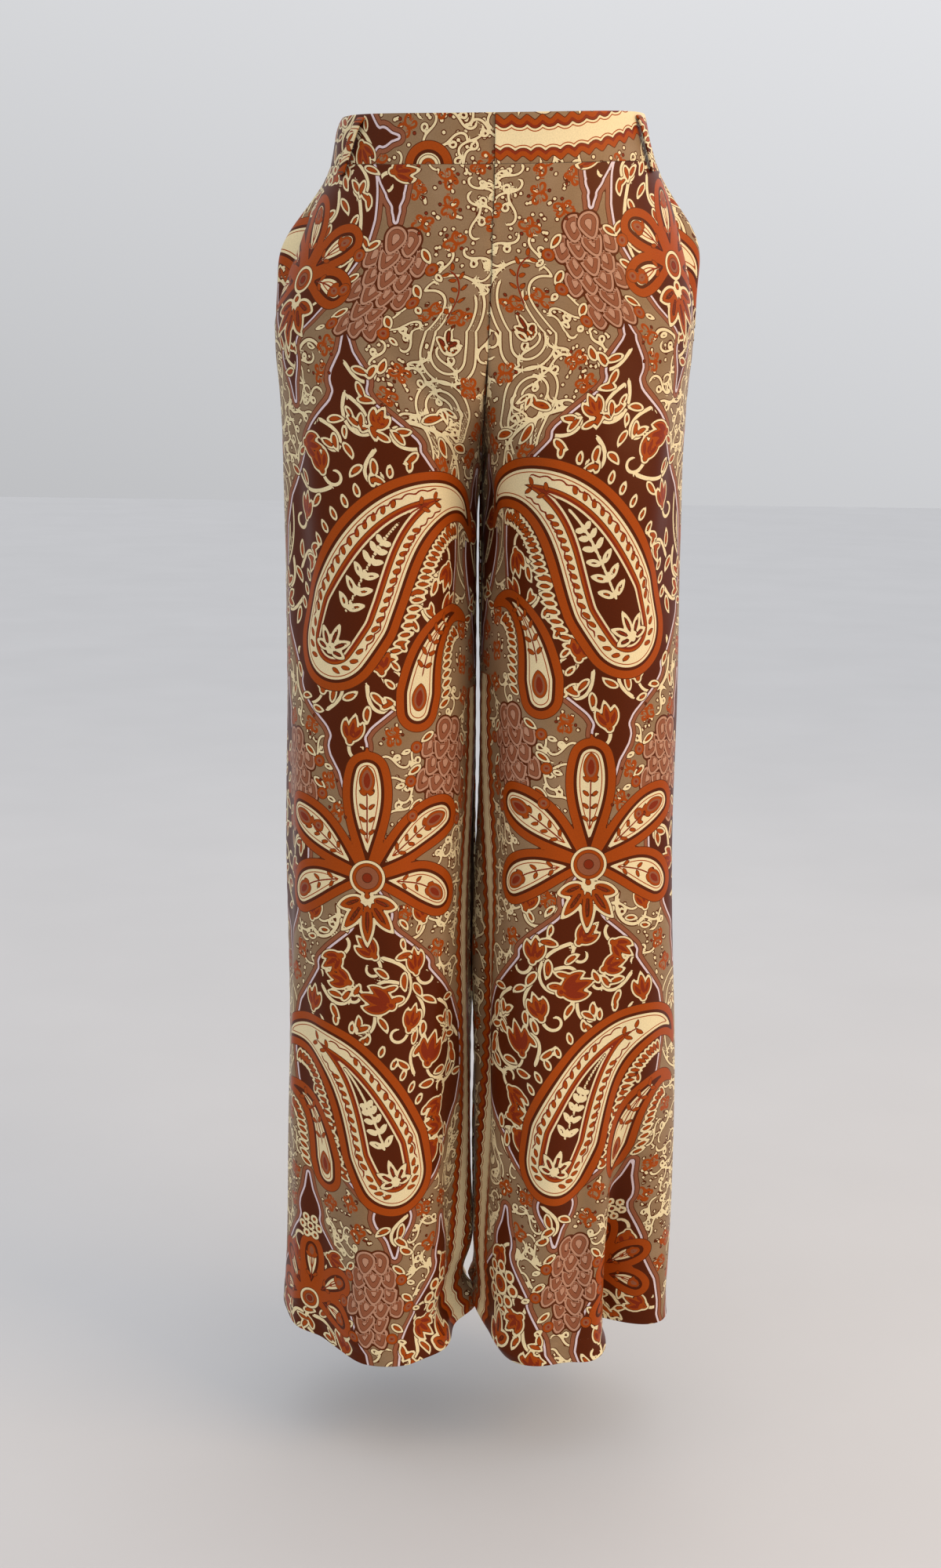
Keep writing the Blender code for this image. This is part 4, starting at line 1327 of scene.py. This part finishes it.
def loop_surface(loop, reach, share):
    """A belt loop's outer points: reach is across it, and share runs from its top to its foot."""
    around = (loop.around_top + (loop.around_foot - loop.around_top) * share)[:, None]
    z = LOOP_TOP + (LOOP_FOOT - LOOP_TOP) * share
    lift = (2 * SEAM_GAP + LOOP_CLOTH + LOOP_BOW * (1 - (2 * share - 1) ** 4))[:, None]
    step = math.copysign(LOOP_STEP, loop.around_top)
    middle = surface(loop.half, around, z, lift=lift)
    along = surface(loop.half, around - step, z, lift=lift) - middle
    along /= np.linalg.norm(along, axis=2, keepdims=True)
    rows = middle + along * reach[None, :, None]
    crown = LOOP_CROWN * (1 - (2 * reach / LOOP_WIDTH) ** 4)
    return rows + grid_normals(rows) * (loop_turn(loop) * (crown - LOOP_SET))[None, :, None]


def loop_turn(loop):
    """1 where a loop's columns run towards the wearer's left across the front, -1 the other way."""
    return loop.half if loop.around_top > 0 else -loop.half


class TROUSERS_OT_belt_loops(bpy.types.Operator):
    """Make the three narrow belt loops"""

    bl_idname = "trousers.belt_loops"
    bl_label = "Belt loops"

    def execute(self, context):
        reach = np.linspace(-LOOP_WIDTH / 2, LOOP_WIDTH / 2, LOOP_COLUMNS)
        for loop in BELT_LOOPS:
            grid = loop_surface(loop, reach, np.linspace(0, 1, LOOP_ROWS))
            piece = cloth_piece(loop.name, grid, LOOP_CLOTH, LOOP_COLUMNS // 2, loop_turn(loop))
            hung(piece, loop.name)
        return {"FINISHED"}


# ---- Stitches ----
class TrousersThread(bpy.types.PropertyGroup):
    """Sizes of the stitches that show."""

    width: measure("Thread", "Width of a stitch's thread", 0.00035)
    hem_pitch: measure("Hem pitch", "Spacing of the hem's blind stitches", 0.007, 4)
    tack_length: measure("Bar tack", "Length of a bar tack", 0.006, 4)
    tack_width: measure("Tack width", "Width of a bar tack", 0.0018, 4)


def stitch_tree():
    """A tree that sews stitches along a path of edges whose points carry the cloth's outward way."""
    tree = bpy.data.node_groups.new("stitches_on_a_path", "GeometryNodeTree")
    for name, kind in (("Path", "Geometry"), ("Pitch", "Float"), ("Length", "Float"), ("Thickness", "Float"),
                       ("Turn", "Float"), ("Thread", "Material")):
        tree.interface.new_socket(name, in_out="INPUT", socket_type="NodeSocket" + kind)
    tree.interface.new_socket("Stitches", in_out="OUTPUT", socket_type="NodeSocketGeometry")
    given = node(tree, "NodeGroupInput").outputs
    curve = node(tree, "GeometryNodeMeshToCurve", [("Mesh", given["Path"])])
    places = node(tree, "GeometryNodeResampleCurve", [
        ("Curve", curve.outputs[0]), ("Length", given["Pitch"])], mode="LENGTH")
    stitch = node(tree, "GeometryNodeMeshUVSphere", [("Segments", 6), ("Rings", 5), ("Radius", 0.5)])
    along = node(tree, "GeometryNodeInputTangent")
    out = node(tree, "GeometryNodeInputNamedAttribute", [("Name", "out")], data_type="FLOAT_VECTOR")
    ahead_way = node(tree, "FunctionNodeAlignRotationToVector", [("Vector", along.outputs[0])], axis="X")
    outward = node(tree, "FunctionNodeAlignRotationToVector", [
        ("Rotation", ahead_way.outputs[0]), ("Vector", out.outputs[0])], axis="Z", pivot_axis="X")
    turn = node(tree, "ShaderNodeCombineXYZ", [("Z", given["Turn"])])
    turned = node(tree, "FunctionNodeRotateRotation", [
        ("Rotation", outward.outputs[0]), ("Rotate By", turn.outputs[0])], rotation_space="LOCAL")
    size = node(tree, "ShaderNodeCombineXYZ", [
        ("X", given["Length"]), ("Y", given["Thickness"]), ("Z", given["Thickness"])])
    laid = node(tree, "GeometryNodeInstanceOnPoints", [
        ("Points", places.outputs[0]), ("Instance", stitch.outputs[0]),
        ("Rotation", turned.outputs[0]), ("Scale", size.outputs[0])])
    real = node(tree, "GeometryNodeRealizeInstances", [(0, laid.outputs[0])])
    smooth = node(tree, "GeometryNodeSetShadeSmooth", [(0, real.outputs[0])])
    sewn = node(tree, "GeometryNodeSetMaterial", [
        ("Geometry", smooth.outputs[0]), ("Material", given["Thread"])])
    node(tree, "NodeGroupOutput", [("Stitches", sewn.outputs[0])])
    return tree


def sewn_along(name, paths, pitch, length, turn):
    """A piece of stitches along paths, each a pair of points and outward ways."""
    edges, start = [], 0
    for points, _ in paths:
        edges += [(start + k, start + k + 1) for k in range(len(points) - 1)]
        start += len(points)
    mesh = bpy.data.meshes.new(name + "_path")
    mesh.from_pydata(np.vstack([points for points, _ in paths]).tolist(), edges, [])
    outs = np.vstack([ways for _, ways in paths]).astype(np.float32)
    mesh.attributes.new("out", "FLOAT_VECTOR", "POINT").data.foreach_set("vector", outs.ravel())
    piece = bpy.data.objects.new(name, mesh)
    bpy.context.scene.collection.objects.link(piece)
    tree = bpy.data.node_groups.get("stitches_on_a_path") or stitch_tree()
    sewing = piece.modifiers.new("stitches", "NODES")
    sewing.node_group = tree
    values = {
        "Pitch": pitch, "Length": length, "Thickness": bpy.context.scene.trousers_thread.width,
        "Turn": math.radians(turn), "Thread": finish(polyester_thread)}
    for item in tree.interface.items_tree:
        if item.in_out == "INPUT" and item.name in values:
            sewing[item.identifier] = values[item.name]
    evaluated = piece.evaluated_get(bpy.context.evaluated_depsgraph_get())
    plain = bpy.data.meshes.new_from_object(evaluated)
    piece.modifiers.clear()
    piece.data = plain
    plain.name = name
    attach(piece, "root")


# A bar tack's middle on the surface, and whether it runs round the garment rather than down it.
Tack = namedtuple("Tack", "name half around z across")
TACKS = [
    Tack("fly_tack", 1, 0.985, FLY_END, False),
    Tack("pocket_tack_right", -1, 0.02, POCKET_END - 0.002, True),
    Tack("pocket_tack_left", 1, 0.02, POCKET_END - 0.002, True),
]

# A tack's stitches lie closer than their thread is wide. The turns are in degrees from the path. The
# rises lift the thread on to the cloth, and a share is a place down the belt loop.
TACK_POINTS = 9
TACK_TURN, BLIND_TURN = 84, 70
TACK_PITCH = 0.9
BLIND_LENGTH = 0.0013
BLIND_RISE = 0.00005
LOOP_TACK_LENGTH = 0.8
LOOP_TACK_RISE = 0.0001
LOOP_TACKS = (0.045, 0.955)

# Each stitch stands on the middle one of three lines, since a grid of three gives its outward way.
THREE = np.array([-1.0, 0.0, 1.0])


def hem_stitches(settings, thread):
    """The blind stitches along each leg's hem."""
    line = HEM + settings.hem_depth
    for half, hand in HANDS.items():
        paths = []
        for front in (True, False):
            z, around, width = panel_places(half, front, 0.004)
            around = np.repeat(around[np.abs(z - line).argmin()][None, 3:-3], 3, axis=0)
            grid = panel_surface(half, front, line - 0.001 * THREE, around, width, settings)
            ways = grid_normals(grid)[1] * (half if front else -half)
            paths.append((grid[1] + ways * BLIND_RISE, ways))
        sewn_along(f"hem_stitches_{hand}", paths, thread.hem_pitch, BLIND_LENGTH, BLIND_TURN)


def bar_tacks(thread):
    """The tacks at the foot of the fly and of each pocket's mouth."""
    for tack in TACKS:
        reach = np.linspace(-0.5, 0.5, TACK_POINTS) * thread.tack_length
        if tack.across:
            length = outline(tack.half, True, np.array([tack.z]))[2][0, -1]
            around = np.repeat(tack.around + reach[None] / length, 3, axis=0)
            grid = surface(tack.half, around, tack.z - 0.0005 * THREE, lift=0.0003)
            points, ways = grid[1], grid_normals(grid)[1]
        else:
            around = tack.around - 0.002 * THREE * np.ones((TACK_POINTS, 1))
            grid = surface(tack.half, around, tack.z + reach[::-1], lift=0.0006)
            points, ways = grid[:, 1], grid_normals(grid)[:, 1]
        # The ways may point inwards, and then they are turned round.
        ways = ways * math.copysign(1, float((ways * (points * (1, 1, 0))).sum()))
        sewn_along(tack.name, [(points, ways)], thread.width * TACK_PITCH, thread.tack_width, TACK_TURN)


def loop_tacks(thread):
    """The tacks that hold each belt loop at its top and its foot."""
    reach = np.linspace(-0.5, 0.5, TACK_POINTS) * (LOOP_WIDTH - 0.001)
    for loop in BELT_LOOPS:
        paths = []
        for share in LOOP_TACKS:
            grid = loop_surface(loop, reach, share + 0.01 * THREE)
            ways = grid_normals(grid)[1] * loop_turn(loop)
            paths.append((grid[1] + ways * LOOP_TACK_RISE, ways))
        length = thread.tack_width * LOOP_TACK_LENGTH
        sewn_along(loop.name + "_tacks", paths, thread.width * TACK_PITCH, length, TACK_TURN)


class TROUSERS_OT_stitches(bpy.types.Operator):
    """Sew the hems' blind stitches and the bar tacks"""

    bl_idname = "trousers.stitches"
    bl_label = "Stitches"

    def execute(self, context):
        thread = context.scene.trousers_thread
        hem_stitches(context.scene.trousers_cloth, thread)
        bar_tacks(thread)
        loop_tacks(thread)
        return {"FINISHED"}


# ---- Stage ----
FLOOR_REACH = 14.0
SKY_LIGHT_WAY = (0.30, 0.0, 0.95)
SKY_SPREAD = 0.75
LIT_POINT = (0, 0, -0.5)
SENSOR_WIDTH = 36.0
CAMERA_PLACE = (-0.010, -1.636, -0.1954)
CAMERA_TILT, CAMERA_ROLL = 78, 0.70


class TrousersStage(bpy.types.PropertyGroup):
    """The floor, the light and the camera."""

    floor: measure("Floor", "Height of the floor, from the waist", -1.15, 2)
    sky: bpy.props.FloatProperty(
        name="Sky", description="Brightness of the studio round the horizon", default=0.70)
    key: bpy.props.FloatProperty(
        name="Key light", description="Power of the warm main light", default=32.5, unit="POWER")
    fill: bpy.props.FloatProperty(
        name="Fill light", description="Power of the cool light", default=4.5, unit="POWER")
    lens: bpy.props.FloatProperty(
        name="Lens", description="The camera's focal length in mm", default=43.2)


def lay_floor(settings):
    """A plain floor of pale plaster."""
    mesh = bpy.data.meshes.new("floor")
    corners = FLOOR_REACH * np.array([(-1, -1, 0), (1, -1, 0), (1, 1, 0), (-1, 1, 0)])
    mesh.from_pydata((corners + (0, 0, settings.floor)).tolist(), [], [(0, 1, 2, 3)])
    floor = bpy.data.objects.new("floor", mesh)
    bpy.context.scene.collection.objects.link(floor)
    plaster, tree, shader = new_material("pale_studio_plaster", Roughness=0.8)
    place = node(tree, "ShaderNodeTexCoord").outputs["Object"]
    cloud = node(tree, "ShaderNodeTexNoise", [("Vector", place), ("Scale", 3.0), ("Detail", 4.0)])
    ramp = node(tree, "ShaderNodeValToRGB", [(0, cloud.outputs[0])])
    for element, code in zip(ramp.color_ramp.elements, ("BBBBBC", "C3C3C4")):
        element.color = (*linear(code), 1.0)
    tree.links.new(ramp.outputs[0], shader.inputs["Base Color"])
    mesh.materials.append(plaster)


def light_studio(settings):
    """A soft pale studio, brighter from above, and three large lamps."""
    scene = bpy.context.scene
    scene.world = bpy.data.worlds.new("soft_studio")
    scene.world.use_nodes = True
    tree = scene.world.node_tree
    sky = tree.nodes["Background"]
    sky.inputs["Color"].default_value = (*linear("EFF0F3"), 1.0)
    way = node(tree, "ShaderNodeTexCoord").outputs["Generated"]
    above = node(tree, "ShaderNodeVectorMath", [(0, way), (1, SKY_LIGHT_WAY)], operation="DOT_PRODUCT")
    glow = node(tree, "ShaderNodeMapRange", [
        (0, above.outputs["Value"]), (1, -1.0), (2, 1.0),
        (3, settings.sky - SKY_SPREAD), (4, settings.sky + SKY_SPREAD)])
    tree.links.new(glow.outputs[0], sky.inputs["Strength"])
    for name, place, size, power, code in (
        ("key", (1.9, -1.1, 0.7), 1.5, settings.key, "FFD9AC"),
        ("fill", (-2.2, -1.5, 0.3), 2.0, settings.fill, "E3EBFF"),
        ("back", (0.4, 2.2, 1.4), 1.6, settings.fill, "FFF4E6"),
    ):
        lamp = bpy.data.lights.new(name, "AREA")
        lamp.size, lamp.energy, lamp.color = size, power, linear(code)
        light = bpy.data.objects.new(name, lamp)
        light.location = place
        light.rotation_euler = (Vector(LIT_POINT) - Vector(place)).to_track_quat("-Z", "Y").to_euler()
        scene.collection.objects.link(light)


def place_camera(settings):
    """The camera, in front of the garment and a little above its middle."""
    lens = bpy.data.cameras.new("camera")
    lens.lens, lens.sensor_width = settings.lens, SENSOR_WIDTH
    camera = bpy.data.objects.new("camera", lens)
    camera.matrix_world = (
        Matrix.Translation(CAMERA_PLACE)
        @ Matrix.Rotation(math.radians(CAMERA_TILT), 4, "X")
        @ Matrix.Rotation(math.radians(CAMERA_ROLL), 4, "Z")
    )
    bpy.context.scene.collection.objects.link(camera)
    bpy.context.scene.camera = camera


class TROUSERS_OT_stage(bpy.types.Operator):
    """Set the floor, the light and the camera"""

    bl_idname = "trousers.stage"
    bl_label = "Stage"

    def execute(self, context):
        for part in (lay_floor, light_studio, place_camera):
            part(context.scene.trousers_stage)
        context.scene.view_settings.view_transform = "Standard"
        return {"FINISHED"}


# ---- The add-on ----
GROUPS = {
    "trousers_cloth": TrousersCloth,
    "trousers_inks": TrousersInks,
    "trousers_thread": TrousersThread,
    "trousers_stage": TrousersStage,
}
OPERATORS = (
    TROUSERS_OT_panels,
    TROUSERS_OT_waistband,
    TROUSERS_OT_pockets,
    TROUSERS_OT_underlap,
    TROUSERS_OT_belt_loops,
    TROUSERS_OT_stitches,
    TROUSERS_OT_stage,
)


class TROUSERS_PT_sidebar(bpy.types.Panel):
    """The trousers' pieces and their settings"""

    bl_idname = "TROUSERS_PT_sidebar"
    bl_label = "Trousers"
    bl_space_type = "VIEW_3D"
    bl_region_type = "UI"
    bl_category = "Trousers"

    def draw(self, context):
        for operator in OPERATORS:
            self.layout.operator(operator.bl_idname)
        for name in GROUPS:
            group = getattr(context.scene, name)
            box = self.layout.box()
            for prop in group.bl_rna.properties[2:]:
                box.prop(group, prop.identifier)


def register():
    """Adds the classes, and the settings that a scene holds."""
    for kind in (*GROUPS.values(), *OPERATORS, TROUSERS_PT_sidebar):
        bpy.utils.register_class(kind)
    for name, kind in GROUPS.items():
        setattr(bpy.types.Scene, name, bpy.props.PointerProperty(type=kind))


def unregister():
    """Takes the settings and the classes out again."""
    for name in GROUPS:
        delattr(bpy.types.Scene, name)
    for kind in (TROUSERS_PT_sidebar, *OPERATORS, *GROUPS.values()):
        bpy.utils.unregister_class(kind)


def main():
    """Builds every piece and the stage."""
    register()
    bpy.ops.trousers.panels()
    bpy.ops.trousers.waistband()
    bpy.ops.trousers.pockets()
    bpy.ops.trousers.underlap()
    bpy.ops.trousers.belt_loops()
    bpy.ops.trousers.stitches()
    bpy.ops.trousers.stage()


if __name__ == "__main__":
    main()
